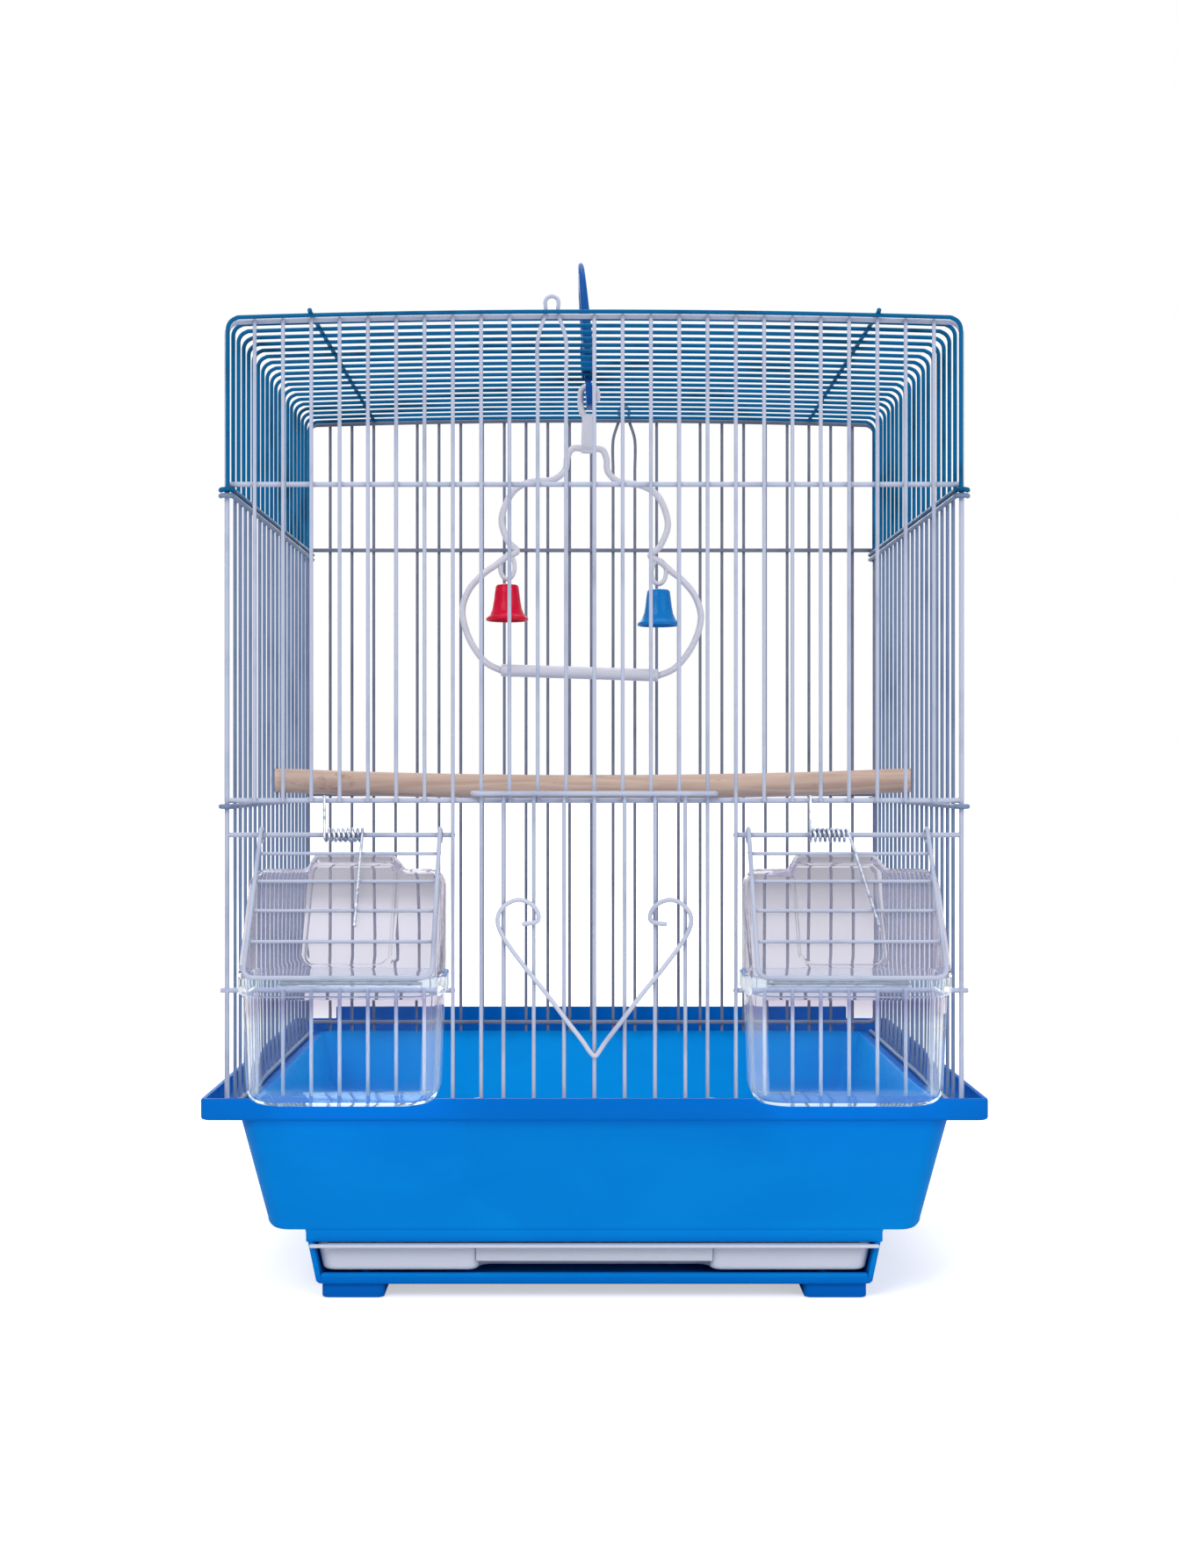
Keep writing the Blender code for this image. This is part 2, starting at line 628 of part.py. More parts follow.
def make_back_panel(parent):
    """Back panel, all wires full height."""
    frame = end_frame("back_frame", HALF_DEPTH)
    crosses = [cross_wire(HALF_DEPTH, EAVES_Z), cross_wire(HALF_DEPTH, DOOR_HEAD_Z)]
    uprights = [latch_wire(-FRONT_WIRE_Y, 1, CAGE_Z - WIRE_END)]
    for number in range(1 - WIDTH_PITCHES // 2, WIDTH_PITCHES // 2):
        if number not in (LATCH_FIRST_PITCH, LATCH_FIRST_PITCH + 1):
            uprights.append(upright_wire(number * PITCH, -FRONT_WIRE_Y, CAGE_Z, TOP_Z))
    combine(frame, wires("back_crosses", crosses, FRAME_RADIUS, FRAME_SIDES))
    combine(frame, wires("back_uprights", uprights, WIRE_RADIUS, THIN_SIDES))
    piece(frame, "back_panel", coated_wire, parent)


def make_side_panel(name, side, parent):
    """A side panel: two hooked rails and a foot rail, with upright wires outside them."""
    foot_end = HALF_DEPTH - FRAME_RADIUS - GAP
    foot = [(side * RAIL_X, -foot_end, CAGE_Z), (side * RAIL_X, foot_end, CAGE_Z)]
    rails = [foot, hooked_rail(side, SIDE_MID_Z), hooked_rail(side, SIDE_TOP_Z)]
    uprights = []
    for number in range(1, DEPTH_PITCHES):
        y = -HALF_DEPTH + number * PITCH
        uprights.append(upright_wire(side * SIDE_WIRE_X, y, CAGE_Z, SIDE_TOP_Z))
    panel = wires(name + "_rails", rails, FRAME_RADIUS, FRAME_SIDES)
    combine(panel, wires(name + "_uprights", uprights, WIRE_RADIUS, THIN_SIDES))
    piece(panel, name, coated_wire, parent)


def make_roof(parent):
    """Roof of bent wires, held by two eaves rails and two ridge rails."""
    hoops = []
    for number in range(ROOF_WIRES):
        y = ROOF_FIRST_Y + number * PITCH
        corners = (
            (-SIDE_WIRE_X, y, ROOF_RAIL_Z - WIRE_END),
            (-SIDE_WIRE_X, y, ROOF_Z),
            (SIDE_WIRE_X, y, ROOF_Z),
            (SIDE_WIRE_X, y, ROOF_RAIL_Z - WIRE_END),
        )
        hoops.append(rounded(corners, ROOF_BEND, ROOF_BEND_STEPS))
    ridges = []
    for side in (-1, 1):
        x = side * RIDGE_PITCHES * PITCH
        ridges.append([
            (x, ROOF_FIRST_Y - RIDGE_TIP_RUN, RIDGE_Z + RIDGE_TIP_RISE),
            (x, ROOF_FIRST_Y - WIRE_RADIUS / 2, RIDGE_Z),
            (x, HALF_DEPTH + STACK, RIDGE_Z),
        ])
    roof = wires("roof_hoops", hoops, WIRE_RADIUS, THIN_SIDES)
    combine(roof, wires("roof_ridges", ridges, WIRE_RADIUS, FRAME_SIDES))
    combine(roof, wires("roof_eaves", [hooked_rail(side, ROOF_RAIL_Z) for side in (-1, 1)], FRAME_RADIUS, FRAME_SIDES))
    piece(roof, "roof_panel", roof_coat, parent)


def make_door(parent):
    """Lift door: two bars that hook round the guide wires, and the wires between them."""
    guide_x = DOOR_HALF_PITCHES * PITCH
    reach = FRONT_WIRE_Y - DOOR_BAR_Y
    bars = []
    for z in (DOOR_BAR_LOW_Z, DOOR_BAR_HIGH_Z):
        left = hook_arc((-guide_x, FRONT_WIRE_Y), reach, math.pi / 2, math.pi, z)
        right = hook_arc((guide_x, FRONT_WIRE_Y), reach, -math.pi / 2, math.pi, z)
        bars.append(left + right)
    uprights = []
    for number in range(DOOR_WIRES):
        x = (number - (DOOR_WIRES - 1) / 2) * DOOR_PITCH
        uprights.append(upright_wire(x, DOOR_WIRE_Y, DOOR_BAR_LOW_Z, DOOR_BAR_HIGH_Z))
    door = wires("door_bars", bars, FRAME_RADIUS, FRAME_SIDES)
    combine(door, wires("door_uprights", uprights, WIRE_RADIUS, FRAME_SIDES))
    piece(door, "lift_door", coated_wire, parent)


def make_heart(parent):
    """Wire heart on the face of the door, with its lobes curled inwards."""
    tip_z = DOOR_BAR_LOW_Z + HEART_TIP_HEIGHT
    half = [(x * HEART_HALF_WIDTH, HEART_Y, tip_z + z * HEART_RISE) for x, z in HEART_SHARES]
    other = [(-x, y, z) for x, y, z in half[:0:-1]]
    heart = wires("heart_wire", [smooth_path(other + half, HEART_STEPS)], HEART_RADIUS, FRAME_SIDES)
    piece(heart, "door_heart", coated_wire, parent)


def make_flap(name, side, parent):
    """Feeder flap, built hanging straight down from its rod and then tilted out to rest."""
    inner_x, outer_x = side * FLAP_INNER_X, side * FLAP_OUTER_X
    loop = []
    for step in range(HOOK_STEPS + 1):
        angle = math.pi * step / HOOK_STEPS
        loop.append((FLAP_PLANE * math.cos(angle), FLAP_PLANE * math.sin(angle)))
    rising = [(inner_x, FLAP_PLANE, -FLAP_TAIL)] + [(inner_x, y, z) for y, z in loop]
    falling = [(outer_x, y, z) for _, y, z in reversed(rising)]
    corners = (rising[-1], (inner_x, -FLAP_PLANE, -FLAP_LENGTH), (outer_x, -FLAP_PLANE, -FLAP_LENGTH), falling[0])
    bend = rounded(corners, FLAP_CORNER, CORNER_STEPS)[1:-1]
    flap = wires(name + "_frame", [rising + bend + falling], FRAME_RADIUS, FRAME_SIDES)
    bars = []
    for share in FLAP_BAR_SHARES:
        z = -FLAP_LENGTH * share
        start, end = inner_x - side * WIRE_END, outer_x + side * WIRE_END
        bars.append([(start, -FLAP_BAR_PLANE, z), (end, -FLAP_BAR_PLANE, z)])
    cross = wires(name + "_bars", bars, WIRE_RADIUS, FRAME_SIDES)
    combine(flap, cross)
    for part in (flap, cross):
        part.location = (0, -HALF_DEPTH, HINGE_Z)
        part.rotation_euler = (-FLAP_TILT, 0, 0)
    piece(flap, name, coated_wire, parent)


def make_spring(name, first_x, splay, parent):
    """Torsion spring on a hinge rod: one leg up on the cross wire, one down over the flap."""
    up = DOOR_HEAD_Z - HINGE_Z + SPRING_LEG_OVER
    points = [(first_x, -SPRING_RADIUS, up), (first_x, -SPRING_RADIUS, up / 2)]
    full_turn = math.tau * SPRING_TURNS - FLAP_TILT
    count = SPRING_POINTS_PER_TURN * SPRING_TURNS
    coil = []
    for step in range(count + 1):
        share = step / count
        angle = full_turn * share
        x = first_x + SPRING_LENGTH * share
        coil.append(Vector((x, -SPRING_RADIUS * math.cos(angle), -SPRING_RADIUS * math.sin(angle))))
    points.extend(coil)
    along = Vector((0, -math.sin(FLAP_TILT), -math.cos(FLAP_TILT)))
    outward = Vector((0, -math.cos(FLAP_TILT), math.sin(FLAP_TILT)))
    last_x = first_x + SPRING_LENGTH
    bend = (SPRING_RADIUS + SPRING_LEG_RISE) * outward + SPRING_LEG_RISE_RUN * along
    foot = (SPRING_RADIUS + SPRING_LEG_RISE) * outward + SPRING_LEG_LENGTH * along
    points.append(bend + Vector((last_x + splay * SPRING_LEG_RISE_RUN / SPRING_LEG_LENGTH, 0, 0)))
    points.append(foot + Vector((last_x + splay, 0, 0)))
    turn = SPRING_POINTS_PER_TURN
    least = min((a - b).length for a, b in zip(coil, coil[turn - 1:])) - 2 * SPRING_WIRE_RADIUS
    print(f"{name}: least gap between turns {least * 1000:.2f} mm")
    spring = wires(name, [points], SPRING_WIRE_RADIUS, FRAME_SIDES)
    spring.location = (0, -HALF_DEPTH, HINGE_Z)
    piece(spring, name, spring_steel, parent)


def make_cup(name, side, parent):
    """Clear cup that hooks over the sill wire from outside, with a stiff band at its mouth."""
    x = side * CUP_X
    low, high = x - CUP_HALF_WIDTH, x + CUP_HALF_WIDTH
    cup = block(name + "_outside", (low, CUP_FRONT_Y, CUP_FOOT_Z), (high, FRONT_FACE_Y, CUP_TOP_Z),
                CUP_CORNER, CUP_STEPS, CUP_FOOT_ROUND, (CUP_TAPER, CUP_TAPER), front_only=True)
    band_z = CUP_TOP_Z - CUP_BAND_HEIGHT
    band = block(name + "_band", (low - CUP_BAND_PROUD, CUP_FRONT_Y - CUP_BAND_PROUD, band_z),
                 (high + CUP_BAND_PROUD, FRONT_FACE_Y, CUP_TOP_Z),
                 CUP_CORNER + CUP_BAND_PROUD, CUP_STEPS, front_only=True)
    flange = block(name + "_flange", (x - CUP_FLANGE_HALF_WIDTH, FRONT_FACE_Y - CUP_FLANGE_THICKNESS, band_z),
                   (x + CUP_FLANGE_HALF_WIDTH, FRONT_FACE_Y, CUP_TOP_Z))
    hook_low_z = SILL_Z + FRAME_RADIUS + GAP
    hook_back_y = -HALF_DEPTH + FRAME_RADIUS + GAP
    over = block(name + "_hook_top", (x - CUP_HOOK_HALF_WIDTH, FRONT_FACE_Y - CUP_WALL, hook_low_z),
                 (x + CUP_HOOK_HALF_WIDTH, hook_back_y + CUP_HOOK_THICKNESS, hook_low_z + CUP_HOOK_THICKNESS))
    down = block(name + "_hook_tail", (x - CUP_HOOK_HALF_WIDTH, hook_back_y, hook_low_z - CUP_HOOK_DROP),
                 (x + CUP_HOOK_HALF_WIDTH, hook_back_y + CUP_HOOK_THICKNESS, hook_low_z + CUP_HOOK_THICKNESS))
    inside = block(name + "_inside", (low + CUP_WALL, CUP_FRONT_Y + CUP_WALL, CUP_FOOT_Z + CUP_WALL),
                   (high - CUP_WALL, FRONT_FACE_Y - CUP_WALL, CUP_TOP_Z + OVERRUN),
                   CUP_CORNER - CUP_WALL, CUP_STEPS, CUP_FOOT_ROUND - CUP_WALL, (CUP_TAPER, CUP_TAPER),
                   front_only=True)
    combine(cup, band)
    combine(cup, flange)
    combine(cup, over)
    combine(cup, down)
    combine(cup, inside, "DIFFERENCE")
    piece(cup, name, clear_plastic, parent)


def hood_wedge(name, x, inward, back_y, foot_z):
    """A wedge with an upright back under the slope of the flap, wider than the hood."""
    apex_drop = (-HALF_DEPTH + (HOOD_PLANE + inward) / math.cos(FLAP_TILT) - back_y) / math.tan(FLAP_TILT)
    outline = [(back_y, foot_z), (hood_slope_y(foot_z, inward), foot_z), (back_y, HINGE_Z - apex_drop)]
    return upright_plate(name, [outline], 2 * (CUP_HALF_WIDTH + OVERRUN), x)


def hood_front(name, side, inward):
    """A thick plate with the hood's front outline, shrunk by inward, that overruns the hood's foot and depth."""
    x = side * CUP_X
    half = CUP_HALF_WIDTH - inward
    peak_low, peak_high = sorted((side * HOOD_PEAK_INNER_X, side * HOOD_PEAK_OUTER_X))
    peak_low += inward
    peak_high -= inward
    foot_z = HOOD_FOOT_Z - 2 * HOOD_SHOULDER_RADIUS
    shoulder_z = HINGE_Z - HOOD_SHOULDER_DROP - inward
    peak_z = HINGE_Z - HOOD_PEAK_DROP - inward
    corners = [
        (x - half, foot_z),
        (x + half, foot_z),
        (x + half, shoulder_z),
        (peak_high + HOOD_PEAK_SLANT, shoulder_z),
        (peak_high - HOOD_PEAK_SLANT, peak_z),
        (peak_low + HOOD_PEAK_SLANT, peak_z),
        (peak_low - HOOD_PEAK_SLANT, shoulder_z),
        (x - half, shoulder_z),
    ]
    wide = HOOD_SHOULDER_RADIUS - inward
    hollow = HOOD_PEAK_RADIUS + inward
    crown = HOOD_PEAK_RADIUS - inward
    outline = flat_rounded(corners, (wide, wide, wide, hollow, crown, crown, hollow, wide), HOOD_STEPS)
    made = plate(name, [outline], 2 * HALF_DEPTH)
    turn = Matrix(((1, 0, 0, 0), (0, 0, -1, 0), (0, 1, 0, 0), (0, 0, 0, 1)))
    made.data.transform(Matrix.Translation((0, -HALF_DEPTH, 0)) @ turn)
    return made


def make_hood(name, side, parent):
    """Clear wedge-shaped hood on the cup, open to the cage and to the cup below."""
    x = side * CUP_X
    hood = hood_wedge(name + "_wedge", x, 0.0, FRONT_FACE_Y, HOOD_FOOT_Z)
    inside = hood_wedge(name + "_hollow", x, HOOD_WALL, FRONT_FACE_Y + OVERRUN, HOOD_FOOT_Z - OVERRUN)
    combine(inside, hood_front(name + "_hollow_front", side, HOOD_WALL), "INTERSECT")
    combine(hood, hood_front(name + "_front", side, 0.0), "INTERSECT")
    combine(hood, inside, "DIFFERENCE")
    piece(hood, name, clear_plastic, parent)


def make_perch(parent):
    """Wooden dowel on the side rails, slotted at each end over an upright wire."""
    y = -HALF_DEPTH + PERCH_PITCH_NUMBER * PITCH
    z = SIDE_MID_Z + FRAME_RADIUS + GAP + PERCH_RADIUS
    end_x = SIDE_WIRE_X + PERCH_END_OVER
    perch = rod("dowel", (-end_x, y, z), (end_x, y, z), PERCH_RADIUS, PERCH_SIDES)
    half_slot = WIRE_RADIUS + PERCH_SLOT_PLAY
    for side in (-1, 1):
        low_x, high_x = sorted((side * (SIDE_WIRE_X - half_slot), side * (end_x + OVERRUN)))
        slot = block("perch_slot", (low_x, y - half_slot, z - PERCH_RADIUS - OVERRUN),
                     (high_x, y + half_slot, z + PERCH_RADIUS + OVERRUN))
        combine(perch, slot, "DIFFERENCE")
    piece(perch, "wooden_perch", pale_wood, parent)


def stem_place():
    """Y of the gap between two roof wires that the handle's stem goes through."""
    return ROOF_FIRST_Y + (HANDLE_GAP_NUMBER + 0.5) * PITCH


def seat_place():
    """X and Y of the seat that the swing hangs from, one roof wire in front of the stem."""
    return HANDLE_X + SEAT_DEPTH * math.sin(HANDLE_LEAN), stem_place() - PITCH


def make_handle(parent):
    """Handle: a grip and a block above the roof, and a stem and hook below it."""
    half = STEM_WIDTH / 2
    block_z = WIRE_RADIUS + HANDLE_SEAT
    block_top = block_z + BLOCK_HEIGHT
    body = block("handle_block", (-BLOCK_THICKNESS / 2, -BLOCK_LENGTH / 2, block_z),
                 (BLOCK_THICKNESS / 2, BLOCK_LENGTH / 2, block_top), BLOCK_ROUND, 2)
    tip_y = -PITCH - SEAT_RADIUS - TIP_THICKNESS
    tip_z = -SEAT_DEPTH + SEAT_RADIUS
    inner_y = -PITCH + SEAT_RADIUS
    corners = [
        (half, block_z + BLOCK_HEIGHT / 2), (half, -LOBE_DEPTH), (tip_y, -LOBE_DEPTH), (tip_y, tip_z),
        (-PITCH - SEAT_RADIUS, tip_z), (-PITCH - SEAT_RADIUS, -SEAT_DEPTH), (inner_y, -SEAT_DEPTH),
        (inner_y, -SEAT_DEPTH + SEAT_RADIUS / 2), (-half, -SEAT_DEPTH + SEAT_RADIUS),
        (-half, block_z + BLOCK_HEIGHT / 2),
    ]
    soft = SEAT_RADIUS / 3
    radii = [soft, STEM_WIDTH, STEM_WIDTH, soft, soft, SEAT_RADIUS / 2, SEAT_RADIUS / 2, soft, soft, soft]
    stem = upright_plate("handle_stem", [flat_rounded(corners, radii, GRIP_STEPS)], STEM_THICKNESS, 0.0)
    low, high, reach = block_top - GRIP_SINK, GRIP_RISE, GRIP_LENGTH / 2
    outer = flat_rounded([(-reach, low), (reach, low), (reach, high), (-reach, high)],
                         [GRIP_FOOT_ROUND, GRIP_FOOT_ROUND, GRIP_TOP_ROUND, GRIP_TOP_ROUND], GRIP_STEPS)
    low, high, reach = low + GRIP_BAR, high - GRIP_BAR, reach - GRIP_BAR
    foot_round, top_round = GRIP_FOOT_ROUND - GRIP_BAR / 2, GRIP_TOP_ROUND - GRIP_BAR
    inner = flat_rounded([(-reach, low), (reach, low), (reach, high), (-reach, high)],
                         [foot_round, foot_round, top_round, top_round], GRIP_STEPS)
    grip = upright_plate("handle_grip", [outer, inner], GRIP_THICKNESS, 0.0)
    combine(body, stem)
    combine(body, grip)
    for part in (body, stem, grip):
        part.location = (HANDLE_X, stem_place(), ROOF_Z)
        part.rotation_euler = (0, -HANDLE_LEAN, 0)
    piece(body, "handle", handle_plastic, parent)


def make_swing(pivot):
    """Swing frame in the crosswise plane, in its pivot's own frame."""
    half = [(x * SWING_HALF_WIDTH, 0.0, -z * SWING_DROP) for x, z in SWING_SHARES]
    foot_x = SWING_PERCH_HALF_LENGTH + SWING_SOCKET_PLAY
    half.append((foot_x, 0.0, -SWING_DROP))
    other = [(-x, y, z) for x, y, z in half[:0:-1]]
    tail = [(foot_x - SWING_SOCKET_DEPTH, 0.0, -SWING_DROP)]
    start = [(SWING_SOCKET_DEPTH - foot_x, 0.0, -SWING_DROP)]
    path = start + smooth_path(other + half, SWING_STEPS) + tail
    frame = wires("swing_rod", [path], SWING_ROD_RADIUS, FRAME_SIDES)
    stem = block("swing_stem", (-SWING_STEM_WIDTH / 2, -SWING_STEM_THICKNESS / 2, -SWING_STEM_FOOT),
                 (SWING_STEM_WIDTH / 2, SWING_STEM_THICKNESS / 2, -SWING_STEM_TOP))
    bend_z = SWING_HOOK_RISE - SWING_HOOK_BEND
    hook = [(-SWING_STEM_WIDTH / 4, 0.0, -SWING_STEM_TOP - SWING_STEM_WIDTH / 4),
            (-SWING_HOOK_BEND, 0.0, -SWING_STEM_TOP + SWING_HOOK_RADIUS)]
    for step in range(HOOK_STEPS + 1):
        angle = math.pi - math.pi * step / HOOK_STEPS
        hook.append((SWING_HOOK_BEND * math.cos(angle), 0.0, bend_z + SWING_HOOK_BEND * math.sin(angle)))
    hook.append((SWING_HOOK_BEND, 0.0, bend_z - SWING_HOOK_TIP))
    combine(frame, stem)
    combine(frame, wires("swing_hook", [hook], SWING_HOOK_RADIUS, PLASTIC_SIDES))
    rings = []
    for side in (-1, 1):
        ring = []
        for step in range(EYE_STEPS):
            angle = math.tau * step / EYE_STEPS
            x = side * EYE_X + EYE_HALF_WIDTH * math.cos(angle)
            ring.append((x, 0.0, -EYE_DROP + EYE_HALF_HEIGHT * math.sin(angle)))
        rings.append(ring)
    combine(frame, wires("swing_eyes", rings, EYE_ROD_RADIUS, FRAME_SIDES, closed=True))
    piece(frame, "swing_frame", milky_plastic, pivot)
    bar_x = SWING_PERCH_HALF_LENGTH
    bar = rod("swing_bar", (-bar_x, 0, -SWING_DROP), (bar_x, 0, -SWING_DROP), SWING_PERCH_RADIUS, 12)
    bore = SWING_ROD_RADIUS + SWING_SOCKET_PLAY
    for side in (-1, 1):
        inner = side * (bar_x - SWING_SOCKET_DEPTH - SWING_SOCKET_PLAY)
        socket = rod("swing_socket", (inner, 0, -SWING_DROP), (side * (bar_x + OVERRUN), 0, -SWING_DROP),
                     bore, PLASTIC_SIDES)
        combine(bar, socket, "DIFFERENCE")
    piece(bar, "swing_perch", milky_plastic, pivot)


def make_bell(name, material, pivot):
    """Turned bell, open below, with a loop that runs through an eye of the swing."""
    crown = -BELL_CROWN_DROP
    foot = crown - BELL_HEIGHT
    waist = crown - BELL_HEIGHT * BELL_WAIST_SHARE
    outside = [
        (0.0, crown), (BELL_CROWN_RADIUS - BELL_CROWN_ROUND, crown), (BELL_CROWN_RADIUS, crown - BELL_CROWN_ROUND),
        (BELL_WAIST_RADIUS, waist), (BELL_RIM_RADIUS - BELL_CROWN_ROUND, foot + 2 * BELL_RIM_HEIGHT),
        (BELL_RIM_RADIUS, foot + BELL_RIM_HEIGHT), (BELL_RIM_RADIUS, foot),
    ]
    inside = [
        (BELL_RIM_RADIUS - BELL_WALL, foot), (BELL_WAIST_RADIUS - BELL_WALL, waist),
        (BELL_CROWN_RADIUS - BELL_WALL, crown - BELL_CROWN_ROUND), (0.0, crown - BELL_CROWN_ROUND),
    ]
    bm = bmesh.new()
    verts = [bm.verts.new((x, 0.0, z)) for x, z in outside + inside]
    for first, second in zip(verts, verts[1:]):
        bm.edges.new((first, second))
    mesh = bpy.data.meshes.new(name)
    bm.to_mesh(mesh)
    bm.free()
    bell = new_object(name + "_profile", mesh)
    turn = bell.modifiers.new("turn", "SCREW")
    turn.axis = "Z"
    turn.steps = BELL_TURN_STEPS
    turn.render_steps = BELL_TURN_STEPS
    turn.use_merge_vertices = True
    turn.merge_threshold = MERGE
    loop = []
    for step in range(BELL_LOOP_STEPS):
        angle = math.tau * (step + 0.5) / BELL_LOOP_STEPS
        loop.append((0.0, BELL_LOOP_RADIUS * math.cos(angle), BELL_LOOP_RADIUS * math.sin(angle)))
    combine(bell, wires(name + "_loop", [loop], BELL_LOOP_ROD, FRAME_SIDES, closed=True))
    piece(bell, name, material, pivot)


def make_tray(parent):
    """Tray: feet, drawer housing, basin, and a rim whose side ledges carry the wire cage."""
    basin = block("tray_basin", (-BASIN_HALF_WIDTH, -TRAY_HALF_DEPTH, HOUSING_TOP_Z),
                  (BASIN_HALF_WIDTH, TRAY_HALF_DEPTH, LEDGE_TOP_Z), BASIN_CORNER, 3, BASIN_FOOT_ROUND,
                  (BASIN_TAPER, BASIN_TAPER))
    rim = block("tray_rim", (-RIM_HALF_WIDTH, -TRAY_HALF_DEPTH, RIM_BOTTOM_Z),
                (RIM_HALF_WIDTH, TRAY_HALF_DEPTH, RIM_TOP_Z), RIM_ROUND, 2)
    housing = block("tray_housing", (-HOUSING_HALF_WIDTH, -HOUSING_HALF_DEPTH, FOOT_HEIGHT),
                    (HOUSING_HALF_WIDTH, HOUSING_HALF_DEPTH, HOUSING_TOP_Z + WALL), RIM_ROUND, 2, RIM_ROUND,
                    (HOUSING_TAPER, RIM_ROUND))
    lip_y = TRAY_HALF_DEPTH - RIM_WALL
    lip = block("tray_back_lip", (-BACK_LIP_HALF_WIDTH, lip_y, RIM_BOTTOM_Z + LEDGE),
                (BACK_LIP_HALF_WIDTH, TRAY_HALF_DEPTH, RIM_TOP_Z + BACK_LIP_RISE))
    for added in (rim, housing, lip):
        combine(basin, added)
    foot_x = HOUSING_HALF_WIDTH - HOUSING_TAPER - FOOT_INSET
    foot_y = HOUSING_HALF_DEPTH - FOOT_INSET - RIM_ROUND
    for x_side in (-1, 1):
        for y_side in (-1, 1):
            xs = sorted((x_side * foot_x, x_side * (foot_x - FOOT_WIDTH)))
            ys = sorted((y_side * foot_y, y_side * (foot_y - FOOT_DEPTH)))
            foot = block("tray_foot", (xs[0], ys[0], 0.0), (xs[1], ys[1], FOOT_HEIGHT + HOUSING_FLOOR / 2),
                         RIM_ROUND, 2)
            combine(basin, foot)
    floor_z = HOUSING_TOP_Z + WALL
    hollow = block("tray_hollow", (WALL - BASIN_HALF_WIDTH, RIM_WALL - TRAY_HALF_DEPTH, floor_z),
                   (BASIN_HALF_WIDTH - WALL, TRAY_HALF_DEPTH - RIM_WALL, LEDGE_TOP_Z + WALL),
                   BASIN_CORNER - WALL, 3, BASIN_FOOT_ROUND - RIM_ROUND, (BASIN_TAPER, BASIN_TAPER))
    trough = block("tray_trough", (RIM_WALL - RIM_HALF_WIDTH, RIM_WALL - TRAY_HALF_DEPTH, LEDGE_TOP_Z),
                   (RIM_HALF_WIDTH - RIM_WALL, TRAY_HALF_DEPTH - RIM_WALL, RIM_TOP_Z + BACK_LIP_RISE + OVERRUN))
    sump_x, sump_y = HOUSING_HALF_WIDTH - SUMP_INSET, HOUSING_HALF_DEPTH - SUMP_INSET
    sump = block("tray_sump", (-sump_x, -sump_y, SUMP_Z), (sump_x, sump_y, floor_z + WALL))
    drop = block("tray_drop", (-DROP_HALF_WIDTH, -DROP_HALF_DEPTH, BAY_TOP_Z - OVERRUN),
                 (DROP_HALF_WIDTH, DROP_HALF_DEPTH, floor_z + WALL), BASIN_CORNER, 3)
    bay = block("tray_bay", (-bay_half_width(BAY_TOP_Z), -HOUSING_HALF_DEPTH - OVERRUN, BAY_FLOOR_Z),
                (bay_half_width(BAY_TOP_Z), HOUSING_HALF_DEPTH - WALL - RIM_ROUND, BAY_TOP_Z),
                taper=(bay_half_width(BAY_TOP_Z) - bay_half_width(BAY_FLOOR_Z), 0.0))
    for cut in (hollow, trough, sump, drop, bay):
        combine(basin, cut, "DIFFERENCE")
    lip_x = bay_half_width(BAY_FLOOR_Z) + WALL / 2
    front_lip = block("tray_front_lip", (-lip_x, RIM_ROUND - HOUSING_HALF_DEPTH, BAY_FLOOR_Z - HOUSING_FLOOR / 2),
                      (lip_x, RIM_ROUND + HOUSING_LIP_DEPTH - HOUSING_HALF_DEPTH, BAY_FLOOR_Z + HOUSING_LIP_HEIGHT))
    combine(basin, front_lip)
    for side in (-1, 1):
        skid_y = HOUSING_HALF_DEPTH - 2 * WALL - HOUSING_LIP_DEPTH
        skid = block("tray_skid", (side * SKID_X - SKID_WIDTH / 2, -skid_y, BAY_FLOOR_Z - HOUSING_FLOOR / 2),
                     (side * SKID_X + SKID_WIDTH / 2, skid_y, drawer_foot_z() - GAP))
        combine(basin, skid)
    piece(basin, "base_tray", tray_plastic, parent)


def bay_half_width(z):
    """Half width of the drawer bay at a height, inside the housing's tapered walls."""
    share = (z - FOOT_HEIGHT) / (HOUSING_HEIGHT + WALL)
    return HOUSING_HALF_WIDTH - HOUSING_TAPER * (1 - share) - WALL


def drawer_foot_z():
    """Height of the drawer's underside, just over the housing's front lip."""
    return BAY_FLOOR_Z + HOUSING_LIP_HEIGHT + 3 * GAP


